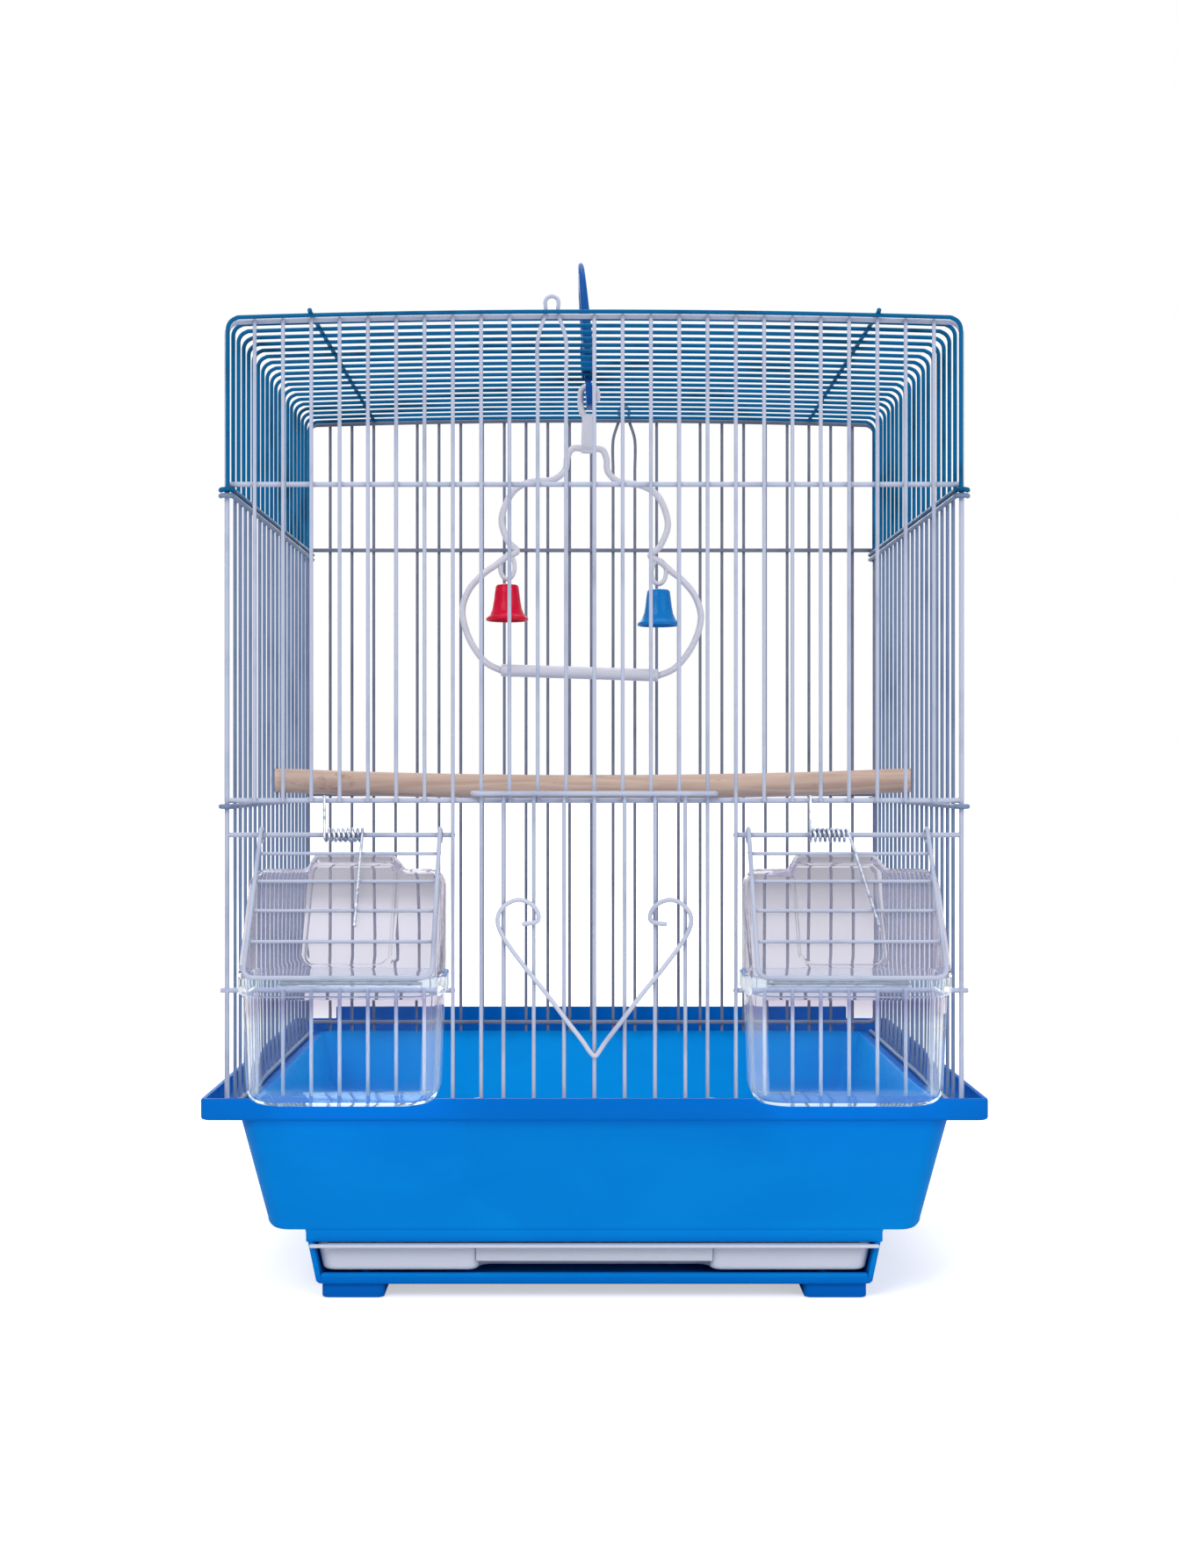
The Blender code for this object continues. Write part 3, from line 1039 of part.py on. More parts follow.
def make_drawer(parent):
    """Litter drawer with a finger recess in the middle of its front and a lip that stops it."""
    foot_z = drawer_foot_z()
    top_z = BAY_TOP_Z - DRAWER_TOP_PLAY
    front_y = DRAWER_SETBACK - HOUSING_HALF_DEPTH
    back_y = HOUSING_HALF_DEPTH - WALL - RIM_ROUND - DRAWER_BACK_PLAY
    top_x = bay_half_width(top_z) - DRAWER_SIDE_PLAY
    taper = top_x - bay_half_width(foot_z) + DRAWER_SIDE_PLAY
    drawer = block("drawer_outside", (-top_x, front_y, foot_z), (top_x, back_y, top_z), DRAWER_CORNER, 3,
                   DRAWER_WALL, (taper, 0.0))
    inside = block("drawer_inside", (DRAWER_WALL - top_x, front_y + DRAWER_WALL, foot_z + DRAWER_WALL),
                   (top_x - DRAWER_WALL, back_y - DRAWER_WALL, top_z + OVERRUN),
                   DRAWER_CORNER - DRAWER_WALL, 3, 0.0, (taper, 0.0))
    keep = block("drawer_notch_walls",
                 (-NOTCH_HALF_WIDTH - DRAWER_WALL, front_y - OVERRUN, foot_z - OVERRUN),
                 (NOTCH_HALF_WIDTH + DRAWER_WALL, front_y + NOTCH_DEPTH + DRAWER_WALL, top_z + 2 * OVERRUN))
    combine(inside, keep, "DIFFERENCE")
    notch = block("drawer_notch", (-NOTCH_HALF_WIDTH, front_y - OVERRUN, foot_z - OVERRUN),
                  (NOTCH_HALF_WIDTH, front_y + NOTCH_DEPTH, top_z - NOTCH_BAND))
    shelf_z = top_z - DRAWER_LIP_THICKNESS
    hollow = block("drawer_band_back", (-NOTCH_HALF_WIDTH, front_y + DRAWER_WALL, top_z - NOTCH_BAND - OVERRUN),
                   (NOTCH_HALF_WIDTH, front_y + NOTCH_DEPTH, shelf_z))
    lip_y = -HOUSING_HALF_DEPTH - GAP
    lip = block("drawer_lip", (-DRAWER_LIP_HALF_WIDTH, lip_y - DRAWER_LIP_REACH, shelf_z),
                (DRAWER_LIP_HALF_WIDTH, lip_y, top_z))
    link_x = top_x - DRAWER_CORNER
    link = block("drawer_lip_link", (-link_x, lip_y - DRAWER_LIP_REACH / 2, shelf_z),
                 (link_x, front_y + DRAWER_WALL, top_z))
    for cut in (inside, notch, hollow):
        combine(drawer, cut, "DIFFERENCE")
    combine(drawer, link)
    combine(drawer, lip)
    piece(drawer, "litter_drawer", drawer_plastic, parent)


for leftover in list(bpy.data.objects):
    bpy.data.objects.remove(leftover, do_unlink=True)

pieces = new_collection("travel_bird_cage")
guides = new_collection("guides")

coated_wire = new_material("coated_wire", (0.62, 0.64, 0.76), 0.35)
roof_coat = new_material("roof_coat", (0.01, 0.10, 0.36), 0.35)
handle_plastic = new_material("handle_plastic", (0.01, 0.08, 0.30), 0.40)
tray_plastic = new_material("tray_plastic", (0.0, 0.20, 0.64), 0.35)
drawer_plastic = new_material("drawer_plastic", (0.72, 0.69, 0.76), 0.40)
clear_plastic = new_material("clear_plastic", (0.85, 0.88, 0.92), 0.12, transmission=0.9)
pale_wood = new_material("pale_wood", (0.70, 0.46, 0.30), 0.65)
milky_plastic = new_material("milky_plastic", (0.80, 0.78, 0.82), 0.35)
red_plastic = new_material("red_plastic", (0.68, 0.01, 0.05), 0.30)
blue_plastic = new_material("blue_plastic", (0.0, 0.19, 0.62), 0.30)
spring_steel = new_material("spring_steel", (0.30, 0.30, 0.32), 0.30, metallic=1.0)

cage = new_empty("cage_centre", (0.0, BODY_Y, 0.0))
make_tray(cage)
make_drawer(cage)
make_front_panel(cage)
make_back_panel(cage)
make_side_panel("left_panel", -1, cage)
make_side_panel("right_panel", 1, cage)
make_roof(cage)
make_door(cage)
make_heart(cage)
make_flap("left_flap", -1, cage)
make_flap("right_flap", 1, cage)
make_spring("left_spring", LEFT_SPRING_X, LEFT_SPRING_SPLAY, cage)
make_spring("right_spring", RIGHT_SPRING_X, RIGHT_SPRING_SPLAY, cage)
make_cup("left_cup", -1, cage)
make_cup("right_cup", 1, cage)
make_hood("left_hood", -1, cage)
make_hood("right_hood", 1, cage)
make_perch(cage)
make_handle(cage)

seat_x, seat_y = seat_place()
swing_pivot = new_empty("swing_pivot", (seat_x, seat_y, SEAT_Z), cage)
swing_pivot.rotation_euler = (0, SWING_LEAN, 0)
make_swing(swing_pivot)
eye_z = -EYE_DROP - EYE_HALF_HEIGHT
for bell_name, bell_side, bell_material in (("red_bell", -1, red_plastic), ("blue_bell", 1, blue_plastic)):
    bell_pivot = new_empty(bell_name + "_pivot", (bell_side * EYE_X, 0.0, eye_z), swing_pivot)
    bell_pivot.rotation_euler = (0, -SWING_LEAN, 0)
    make_bell(bell_name, bell_material, bell_pivot)
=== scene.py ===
"""Looks of a small travel cage of coated wire, with its tray, drawer, door, feeders, perch and swing.

Each class below rebuilds one sub-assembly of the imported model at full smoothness. It works in
millimetres about the middle of the wire cage, with Z up from the feet, and the Workshop turns the
result into metres in the frame's own axes.
"""

import logging
import math
from dataclasses import dataclass, field
from enum import Enum
from typing import Iterable, Optional, Sequence

import bmesh
import bpy
from mathutils import Matrix, Vector


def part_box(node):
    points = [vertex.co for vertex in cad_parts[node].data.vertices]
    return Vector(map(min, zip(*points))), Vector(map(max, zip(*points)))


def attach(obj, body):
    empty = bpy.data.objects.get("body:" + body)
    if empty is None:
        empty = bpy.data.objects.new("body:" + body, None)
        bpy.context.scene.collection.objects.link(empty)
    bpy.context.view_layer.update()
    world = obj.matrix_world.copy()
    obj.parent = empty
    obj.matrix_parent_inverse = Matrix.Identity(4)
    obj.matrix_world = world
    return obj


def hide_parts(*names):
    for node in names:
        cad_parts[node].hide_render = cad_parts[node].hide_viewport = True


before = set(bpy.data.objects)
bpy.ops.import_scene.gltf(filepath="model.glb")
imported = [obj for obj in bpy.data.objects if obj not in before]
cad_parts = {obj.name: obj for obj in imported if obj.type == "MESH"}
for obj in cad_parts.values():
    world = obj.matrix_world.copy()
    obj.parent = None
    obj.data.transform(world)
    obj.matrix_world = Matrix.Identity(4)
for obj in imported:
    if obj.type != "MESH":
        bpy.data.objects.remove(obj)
LOG = logging.getLogger("travel_cage")
MM = 0.001
WELD = 0.001
HAIR = 0.1


class Body(Enum):
    """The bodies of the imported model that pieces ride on."""

    TRAY = "tray"
    DRAWER = "drawer"
    CAGE = "cage"
    DOOR = "door"
    FLAP_LEFT = "flap_left"
    FLAP_RIGHT = "flap_right"
    SWING = "swing"
    BELL_RED = "bell_red"
    BELL_BLUE = "bell_blue"


class Finish(Enum):
    """The finishes, by the names of their materials."""

    COATED_WIRE = "coated_wire"
    SHADED_SIDE_COAT = "shaded_side_coat"
    SHADED_BACK_COAT = "shaded_back_coat"
    LIT_HEART_COAT = "lit_heart_coat"
    ROOF_COAT = "roof_coat"
    HANDLE_PLASTIC = "handle_plastic"
    TRAY_PLASTIC = "tray_plastic"
    LIT_TRAY_LINING = "lit_tray_lining"
    DRAWER_PLASTIC = "drawer_plastic"
    CLEAR_PLASTIC = "clear_plastic"
    CUP_SIDE_SHEEN = "cup_side_sheen"
    CLOUDY_PLASTIC = "cloudy_plastic"
    PALE_WOOD = "pale_wood"
    MILKY_PLASTIC = "milky_plastic"
    RED_PLASTIC = "red_plastic"
    BLUE_PLASTIC = "blue_plastic"
    SPRING_STEEL = "spring_steel"


class Hand(Enum):
    """Which side of the cage a piece is on, seen from the front."""

    LEFT = -1
    RIGHT = 1

    @property
    def word(self) -> str:
        """The side as it stands in the names of nodes."""
        return self.name.lower()


Colour = tuple[float, float, float]
Ring = list[Vector]
Socket = bpy.types.NodeSocket
Mesh = bmesh.types.BMesh
Vert = bmesh.types.BMVert


def linear(red: int, green: int, blue: int) -> Colour:
    """Turn a display colour of 0 to 255 into the linear values that shaders take.

    Args:
        red: red channel.
        green: green channel.
        blue: blue channel.

    Returns:
        The linear colour.
    """
    def channel(value: int) -> float:
        """One channel of the colour."""
        share = value / 255
        return share / 12.92 if share <= 0.04045 else ((share + 0.055) / 1.055) ** 2.4
    return channel(red), channel(green), channel(blue)


def between(first: Colour, second: Colour, share: float) -> Colour:
    """A colour part of the way from one to another."""
    return tuple(a + (b - a) * share for a, b in zip(first, second))


class Graph:
    """Short calls for building the node tree of one material."""

    def __init__(self, name: str) -> None:
        """Start a material with a Principled shader wired to its output.

        Args:
            name: the material's name.
        """
        self.material = bpy.data.materials.new(name)
        self.material.use_nodes = True
        self.tree = self.material.node_tree
        self.shader = self.tree.nodes["Principled BSDF"]
        place = self.tree.nodes.new("ShaderNodeTexCoord")
        self.place = place.outputs["Object"]

    def set(self, **values: object) -> None:
        """Set the shader's own sockets; an underscore in a name stands for a space."""
        for name, value in values.items():
            self.shader.inputs[name.replace("_", " ")].default_value = value

    def link(self, output: Socket, name: str) -> None:
        """Wire an output to one of the shader's sockets."""
        self.tree.links.new(output, self.shader.inputs[name])

    def stretch(self, scale: Sequence[float], turn: Sequence[float] = (0, 0, 0)) -> Socket:
        """Object coordinates, turned and then scaled along each axis.

        Args:
            scale: factor along each axis.
            turn: angle about each axis, in radians.

        Returns:
            The new coordinates.
        """
        node = self.tree.nodes.new("ShaderNodeMapping")
        node.vector_type = "POINT"
        node.inputs["Scale"].default_value = scale
        node.inputs["Rotation"].default_value = turn
        self.tree.links.new(self.place, node.inputs["Vector"])
        return node.outputs["Vector"]

    def noise(self, scale: float, detail: float = 3.0, rough: float = 0.5, distort: float = 0.0,
              vector: Optional[Socket] = None) -> Socket:
        """A noise factor.

        Args:
            scale: features per metre.
            detail: number of finer octaves.
            rough: weight of the finer octaves.
            distort: how far the pattern is warped.
            vector: coordinates other than the object's own.

        Returns:
            The pattern, from 0 to 1.
        """
        node = self.tree.nodes.new("ShaderNodeTexNoise")
        node.inputs["Scale"].default_value = scale
        node.inputs["Detail"].default_value = detail
        node.inputs["Roughness"].default_value = rough
        node.inputs["Distortion"].default_value = distort
        self.tree.links.new(vector or self.place, node.inputs["Vector"])
        return node.outputs["Fac"]

    def ramp(self, factor: Socket, stops: Sequence[tuple[float, Colour]]) -> Socket:
        """A colour that runs through stops as the factor grows.

        Args:
            factor: the driving number.
            stops: places from 0 to 1, each with its colour, in order.

        Returns:
            The colour.
        """
        node = self.tree.nodes.new("ShaderNodeValToRGB")
        band = node.color_ramp
        band.elements.remove(band.elements[-1])
        band.elements[0].position = stops[0][0]
        band.elements[0].color = (*stops[0][1], 1.0)
        for spot, colour in stops[1:]:
            band.elements.new(spot).color = (*colour, 1.0)
        self.tree.links.new(factor, node.inputs["Fac"])
        return node.outputs["Color"]

    def spread(self, factor: Socket, low: float, high: float,
               start: float = 0.3, end: float = 0.7) -> Socket:
        """A number that runs from low to high as the factor goes from start to end.

        Args:
            factor: the driving number.
            low: number at the start.
            high: number at the end.
            start: factor at the low number.
            end: factor at the high number.

        Returns:
            The number.
        """
        node = self.tree.nodes.new("ShaderNodeMapRange")
        node.inputs["From Min"].default_value = start
        node.inputs["From Max"].default_value = end
        node.inputs["To Min"].default_value = low
        node.inputs["To Max"].default_value = high
        self.tree.links.new(factor, node.inputs["Value"])
        return node.outputs["Result"]

    def blend(self, factor: Socket, first: object, second: object) -> Socket:
        """Mix two colours, each a socket or plain values.

        Args:
            factor: share of the second colour.
            first: colour at a share of 0.
            second: colour at a share of 1.

        Returns:
            The mixed colour.
        """
        node = self.tree.nodes.new("ShaderNodeMix")
        node.data_type = "RGBA"
        self.tree.links.new(factor, node.inputs[0])
        for socket, value in ((node.inputs[6], first), (node.inputs[7], second)):
            if isinstance(value, Socket):
                self.tree.links.new(value, socket)
            else:
                socket.default_value = (*value, 1.0)
        return node.outputs[2]

    def bump(self, height: Socket, strength: float, depth: float, under: Optional[Socket] = None) -> Socket:
        """A bump whose depth is in metres, over an earlier one if given.

        Args:
            height: the relief.
            strength: share of the relief that shows.
            depth: depth in metres.
            under: an earlier bump that this one lies on.

        Returns:
            The bent normal.
        """
        node = self.tree.nodes.new("ShaderNodeBump")
        node.inputs["Strength"].default_value = strength
        node.inputs["Distance"].default_value = depth
        self.tree.links.new(height, node.inputs["Height"])
        if under is not None:
            self.tree.links.new(under, node.inputs["Normal"])
        return node.outputs["Normal"]

    def strata(self, levels: Sequence[tuple[float, Colour]]) -> Socket:
        """A colour that runs through stops at given heights in metres.

        Args:
            levels: heights in metres, each with its colour, in order.

        Returns:
            The colour at each height.
        """
        parts = self.tree.nodes.new("ShaderNodeSeparateXYZ")
        self.tree.links.new(self.place, parts.inputs["Vector"])
        low, high = levels[0][0], levels[-1][0]
        height = self.spread(parts.outputs["Z"], 0.0, 1.0, low, high)
        return self.ramp(height, [((z - low) / (high - low), colour) for z, colour in levels])

    def tiers(self, levels: Sequence[tuple[float, float]]) -> Socket:
        """A share that runs through values at given heights in metres."""
        return self.strata([(z, (share,) * 3) for z, share in levels])

    def sum(self, first: Socket, second: Socket, weight: float) -> Socket:
        """One number plus another times a weight, held between 0 and 1.

        Args:
            first: the number.
            second: the number that is weighed.
            weight: its weight.

        Returns:
            The sum, from 0 to 1.
        """
        node = self.tree.nodes.new("ShaderNodeMath")
        node.operation = "MULTIPLY_ADD"
        node.use_clamp = True
        node.inputs[1].default_value = weight
        self.tree.links.new(second, node.inputs[0])
        self.tree.links.new(first, node.inputs[2])
        return node.outputs["Value"]

    def crease_shade(self, distance: float) -> Socket:
        """How open a point is to its surroundings, used to paint shade into a colour: low where two surfaces
        meet closely.

        Args:
            distance: how far a surface is looked for, in metres.

        Returns:
            1 in the open, less in a crotch.
        """
        node = self.tree.nodes.new("ShaderNodeAmbientOcclusion")
        node.inputs["Distance"].default_value = distance
        node.samples = 6
        return node.outputs["AO"]


@dataclass(frozen=True)
class CoatedWire:
    """Steel wire dipped in plastic: it pools a little at the welds and shows a fine orange peel; shade is
    painted into its colour where wires meet closely.

    Args:
        name: which finish it is.
        fresh: colour of the clean coating.
        shade: colour where the coating is thick or dusty, and the shade painted where wires meet closely.
        gleam: specular level of the coating.
    """

    name: Finish
    fresh: Colour
    shade: Colour
    gleam: float = 0.4

    def make(self) -> bpy.types.Material:
        """Build the material.

        Returns:
            The material.
        """
        graph = Graph(self.name.value)
        drift = graph.ramp(graph.noise(38, 4, 0.55), [(0.25, self.shade), (0.50, self.fresh)])
        # Painted shade: the shade colour is blended in where wires meet closely.
        graph.link(graph.blend(graph.crease_shade(0.0025), self.shade, drift), "Base Color")
        graph.link(graph.spread(graph.noise(160, 3), 0.26, 0.42), "Roughness")
        peel = graph.bump(graph.noise(1500, 2), 0.25, 0.00006)
        graph.link(graph.bump(graph.noise(260, 3, 0.6), 0.25, 0.00012, peel), "Normal")
        graph.set(Specular_IOR_Level=self.gleam)
        return graph.material


@dataclass(frozen=True)
class MouldedPlastic:
    """Opaque injection-moulded plastic with flow marks, a fine spark texture and light scuffs, with shade
    painted into its colour in crevices and, by tiers, at given heights.

    Args:
        name: which finish it is.
        body: main colour.
        deep: colour of the darker flow marks, and of the shade painted in crevices and in the tiers.
        gloss: roughness of the clean surface.
        gleam: specular level; low for a strong colour that stays pure in its gloss.
        subsurface: how much light goes into the surface.
        tiers: heights in metres with the share of the body colour there, the rest being deep as painted
            shade.
    """

    name: Finish
    body: Colour
    deep: Colour
    gloss: float = 0.32
    gleam: float = 0.4
    subsurface: float = 0.0
    tiers: tuple[tuple[float, float], ...] = ()

    def make(self) -> bpy.types.Material:
        """Build the material.

        Returns:
            The material.
        """
        graph = Graph(self.name.value)
        flow = graph.noise(9, 4, 0.55, 1.2, graph.stretch((1.0, 1.0, 2.4)))
        tone = graph.ramp(flow, [(0.30, between(self.body, self.deep, 0.3)), (0.60, self.body)])
        if self.tiers:
            # Painted shade by height, from the tiers.
            tone = graph.blend(graph.tiers(self.tiers), self.deep, tone)
        # Painted shade in crevices.
        graph.link(graph.blend(graph.crease_shade(0.008), self.deep, tone), "Base Color")
        scuff = graph.noise(120, 6, 0.7, 0.4, graph.stretch((0.25, 1.0, 2.2), (0.1, 0.2, 0.5)))
        graph.link(graph.spread(scuff, self.gloss, self.gloss + 0.2, 0.45, 0.75), "Roughness")
        spark = graph.bump(graph.noise(2200, 2), 0.2, 0.00005)
        graph.link(graph.bump(graph.noise(38, 2), 0.2, 0.0005, spark), "Normal")
        graph.set(Specular_IOR_Level=self.gleam)
        if self.subsurface:
            graph.set(Subsurface_Weight=self.subsurface, Subsurface_Radius=(1.0, 1.0, 1.0),
                      Subsurface_Scale=0.002)
        return graph.material


@dataclass(frozen=True)
class ClearPlastic:
    """Clear moulded plastic with slight waviness, fine hazing and a faint cool tint.

    Args:
        name: which finish it is.
        tint: colour of the light that comes through.
        haze: roughness of the clean surface.
        milk: share of the surface that is cloudy rather than clear.
        tiers: heights in metres with how frosted the plastic is there.
        tints: heights in metres with the tint there, where it isn't the same all over; a cup's bluish stops
            at its foot are painted light from the blue tray.
        bend: index of refraction, low as for a thin film-like wall.
    """

    name: Finish
    tint: Colour
    haze: float = 0.0
    milk: float = 0.05
    tiers: tuple[tuple[float, float], ...] = ()
    tints: tuple[tuple[float, Colour], ...] = ()
    bend: float = 1.07

    def make(self) -> bpy.types.Material:
        """Build the material.

        Returns:
            The material.
        """
        graph = Graph(self.name.value)
        graph.set(Base_Color=(*self.tint, 1.0), IOR=self.bend)
        if self.tints:
            graph.link(graph.strata(self.tints), "Base Color")
        haze = graph.spread(graph.noise(70, 5, 0.65, 0.5), self.haze, self.haze + 0.05, 0.45, 0.75)
        body = graph.spread(graph.noise(24, 3), 1.0 - self.milk * 1.3, 1.0 - self.milk * 0.7)
        if self.tiers:
            frost = graph.tiers(self.tiers)
            haze = graph.sum(haze, frost, 0.35)
            body = graph.sum(body, frost, -0.30)
        graph.link(haze, "Roughness")
        graph.link(body, "Transmission Weight")
        wave = graph.bump(graph.noise(60, 2), 0.2, 0.0004)
        graph.link(graph.bump(graph.noise(900, 2), 0.04, 0.00005, wave), "Normal")
        return graph.material


@dataclass(frozen=True)
class DowelWood:
    """Sanded dowel with grain along its length, darker streaks and a few small knots.

    Args:
        name: which finish it is.
        pale: colour between the grain lines.
        grain: colour of the grain lines.
        knot: colour of the streaks and knots.
    """

    name: Finish
    pale: Colour
    grain: Colour
    knot: Colour

    def make(self) -> bpy.types.Material:
        """Build the material.

        Returns:
            The material.
        """
        graph = Graph(self.name.value)
        fibres = graph.noise(420, 5, 0.6, 0.3, graph.stretch((0.035, 1.0, 1.0)))
        bands = graph.noise(95, 3, 0.5, 1.4, graph.stretch((0.10, 1.0, 1.0)))
        streaks = graph.noise(38, 4, 0.6, 2.5, graph.stretch((0.45, 1.0, 1.0)))
        tone = graph.ramp(bands, [(0.34, self.grain), (0.50, self.pale), (0.72, self.grain)])
        tone = graph.blend(graph.spread(fibres, 0.0, 0.5, 0.45, 0.70), tone, self.grain)
        tone = graph.blend(graph.spread(streaks, 0.0, 0.8, 0.60, 0.70), tone, self.knot)
        graph.link(tone, "Base Color")
        graph.link(graph.spread(fibres, 0.52, 0.72), "Roughness")
        graph.link(graph.bump(fibres, 0.4, 0.00015), "Normal")
        graph.set(Specular_IOR_Level=0.35)
        return graph.material


@dataclass(frozen=True)
class SpringSteel:
    """Drawn spring wire, dark with brighter rubbed places.

    Args:
        name: which finish it is.
        dark: colour of the scale.
        bright: colour of the bare metal.
    """

    name: Finish
    dark: Colour
    bright: Colour

    def make(self) -> bpy.types.Material:
        """Build the material.

        Returns:
            The material.
        """
        graph = Graph(self.name.value)
        rub = graph.noise(420, 4, 0.6)
        graph.link(graph.ramp(rub, [(0.35, self.dark), (0.65, self.bright)]), "Base Color")
        graph.link(graph.spread(rub, 0.42, 0.24), "Roughness")
        graph.link(graph.bump(graph.noise(2600, 2), 0.2, 0.00003), "Normal")
        graph.set(Metallic=1.0)
        return graph.material


# Heights in metres: how much of the tray keeps its body colour, the rest being painted shade at its foot and
# its rim band; how frosted a cup is; and a cup's tint, with painted blue light from the tray at its foot.
TRAY_SHADE_TIERS = ((0.0, 0.0), (0.006, 0.1), (0.010, 0.8), (0.030, 1.0), (0.056, 1.0), (0.068, 0.75),
              (0.0715, 0.2), (0.090, 0.05))
CUP_TIERS = ((0.078, 0.3), (0.0814, 0.15), (0.0828, 0.02), (0.086, 0.0), (0.120, 0.0), (0.123, 0.16),
             (0.130, 0.16))
# The bluish stops at the cup's foot paint the blue light bounced from the tray; the rest is the cup's tint.
CUP_TINTS_AND_BLUE_BOUNCE = ((0.078, linear(212, 236, 246)), (0.084, linear(222, 240, 248)), (0.088, linear(246, 250, 254)),
             (0.112, linear(250, 252, 254)), (0.116, linear(232, 228, 237)), (0.121, linear(232, 230, 239)),
             (0.1225, linear(233, 239, 245)), (0.130, linear(233, 239, 245)))


class Finishes:
    """Every finish of the cage, made once."""

    def __init__(self) -> None:
        """Build the materials."""
        makers = (
            CoatedWire(Finish.COATED_WIRE, linear(170, 177, 198), linear(146, 154, 178), gleam=0.08),
            # A darker, bluer copy of the wire coating: painted shade on the side wires.
            CoatedWire(Finish.SHADED_SIDE_COAT, linear(110, 128, 160), linear(90, 108, 142), gleam=0.08),
            # A darker copy of the wire coating: painted shade on the back wires.
            CoatedWire(Finish.SHADED_BACK_COAT, linear(118, 123, 142), linear(94, 99, 118), gleam=0.08),
            # A lighter copy of the wire coating: painted light on the front-lit heart.
            CoatedWire(Finish.LIT_HEART_COAT, linear(186, 191, 208), linear(160, 166, 188), gleam=0.12),
            CoatedWire(Finish.ROOF_COAT, linear(6, 90, 138), linear(0, 56, 88), gleam=0.05),
            MouldedPlastic(Finish.HANDLE_PLASTIC, linear(2, 76, 150), linear(0, 54, 116), gloss=0.35,
                           gleam=0.12),
            # The tray's tiers paint shade at its foot and at its rim band.
            MouldedPlastic(Finish.TRAY_PLASTIC, linear(0, 121, 200), linear(0, 92, 180), gloss=0.34,
                           gleam=0.03, tiers=TRAY_SHADE_TIERS),
            # A lighter copy of the tray plastic for the basin's inner faces: painted light.
            MouldedPlastic(Finish.LIT_TRAY_LINING, linear(0, 146, 224), linear(0, 122, 208), gloss=0.34,
                           gleam=0.03),
            MouldedPlastic(Finish.DRAWER_PLASTIC, linear(192, 196, 208), linear(176, 182, 198), gloss=0.36,
                           gleam=0.3, subsurface=0.1),
            ClearPlastic(Finish.CLEAR_PLASTIC, linear(246, 250, 254), milk=0.002, tiers=CUP_TIERS,
                         tints=CUP_TINTS_AND_BLUE_BOUNCE, bend=1.05),
            # A milkier copy of the clear plastic for the cup's side walls: painted sheen of their grazing
            # reflection.
            ClearPlastic(Finish.CUP_SIDE_SHEEN, linear(238, 242, 248), milk=0.10, tints=CUP_TINTS_AND_BLUE_BOUNCE, bend=1.05),
            ClearPlastic(Finish.CLOUDY_PLASTIC, linear(212, 210, 222), milk=0.11),
            DowelWood(Finish.PALE_WOOD, linear(192, 168, 154), linear(170, 143, 130), linear(128, 96, 84)),
            MouldedPlastic(Finish.MILKY_PLASTIC, linear(197, 197, 209), linear(178, 178, 194), gloss=0.3,
                           gleam=0.4, subsurface=0.2),
            MouldedPlastic(Finish.RED_PLASTIC, linear(200, 4, 50), linear(160, 0, 36), gloss=0.2,
                           gleam=0.12, subsurface=0.05),
            MouldedPlastic(Finish.BLUE_PLASTIC, linear(0, 112, 184), linear(0, 84, 156), gloss=0.2,
                           gleam=0.12, subsurface=0.05),
            SpringSteel(Finish.SPRING_STEEL, linear(134, 142, 164), linear(226, 232, 244)),
        )
        self.made = {maker.name: maker.make() for maker in makers}


def plan(corners: Sequence[tuple[float, float]], radii: Sequence[float], z: float, steps: int = 5) -> Ring:
    """A level outline whose corners are rounded.

    Args:
        corners: the sharp corners in X and Y, in order.
        radii: the radius at each corner.
        z: height of the outline.
        steps: straight pieces in each corner.

    Returns:
        The outline's points, the same count for any radii.
    """
    points: Ring = []
    count = len(corners)
    for index, radius in enumerate(radii):
        here = Vector((*corners[index], z))
        before = Vector((*corners[index - 1], z))
        after = Vector((*corners[(index + 1) % count], z))
        points.extend(corner_arc(before, here, after, radius, steps))
    return points


def oblong(half_x: float, half_y: float, radius: float, z: float, steps: int = 6) -> Ring:
    """A level rounded oblong about the cage's middle."""
    corners = ((half_x, -half_y), (half_x, half_y), (-half_x, half_y), (-half_x, -half_y))
    return plan(corners, (radius,) * 4, z, steps)


def corner_arc(before: Vector, here: Vector, after: Vector, radius: float, steps: int) -> Ring:
    """The arc that rounds one corner of a path.

    Args:
        before: the path's corner before this one.
        here: the corner that is rounded.
        after: the path's corner after this one.
        radius: radius of the bend.
        steps: straight pieces in each bend.

    Returns:
        The arc's points.
    """
    into = (here - before).normalized()
    out = (after - here).normalized()
    turn = into.angle(out)
    if turn < 0.001 or radius <= 0:
        return [here.copy() for _ in range(steps + 1)]
    centre = here + (out - into).normalized() * radius / math.cos(turn / 2)
    arm = here - into * radius * math.tan(turn / 2) - centre
    axis = into.cross(out).normalized()
    return [centre + Matrix.Rotation(turn * step / steps, 3, axis) @ arm for step in range(steps + 1)]


def bent(corners: Iterable[Sequence[float]], radius: float, steps: int = 6) -> Ring:
    """A path of straight runs whose corners have one bend radius.

    Args:
        corners: the path's sharp corners, in order.
        radius: radius of the bend.
        steps: straight pieces in each bend.

    Returns:
        The path's points.
    """
    spots = [Vector(corner) for corner in corners]
    points: Ring = []
    for index, spot in enumerate(spots):
        if index in (0, len(spots) - 1):
            points.append(spot)
            continue
        points.extend(corner_arc(spots[index - 1], spot, spots[index + 1], radius, steps))
    return points


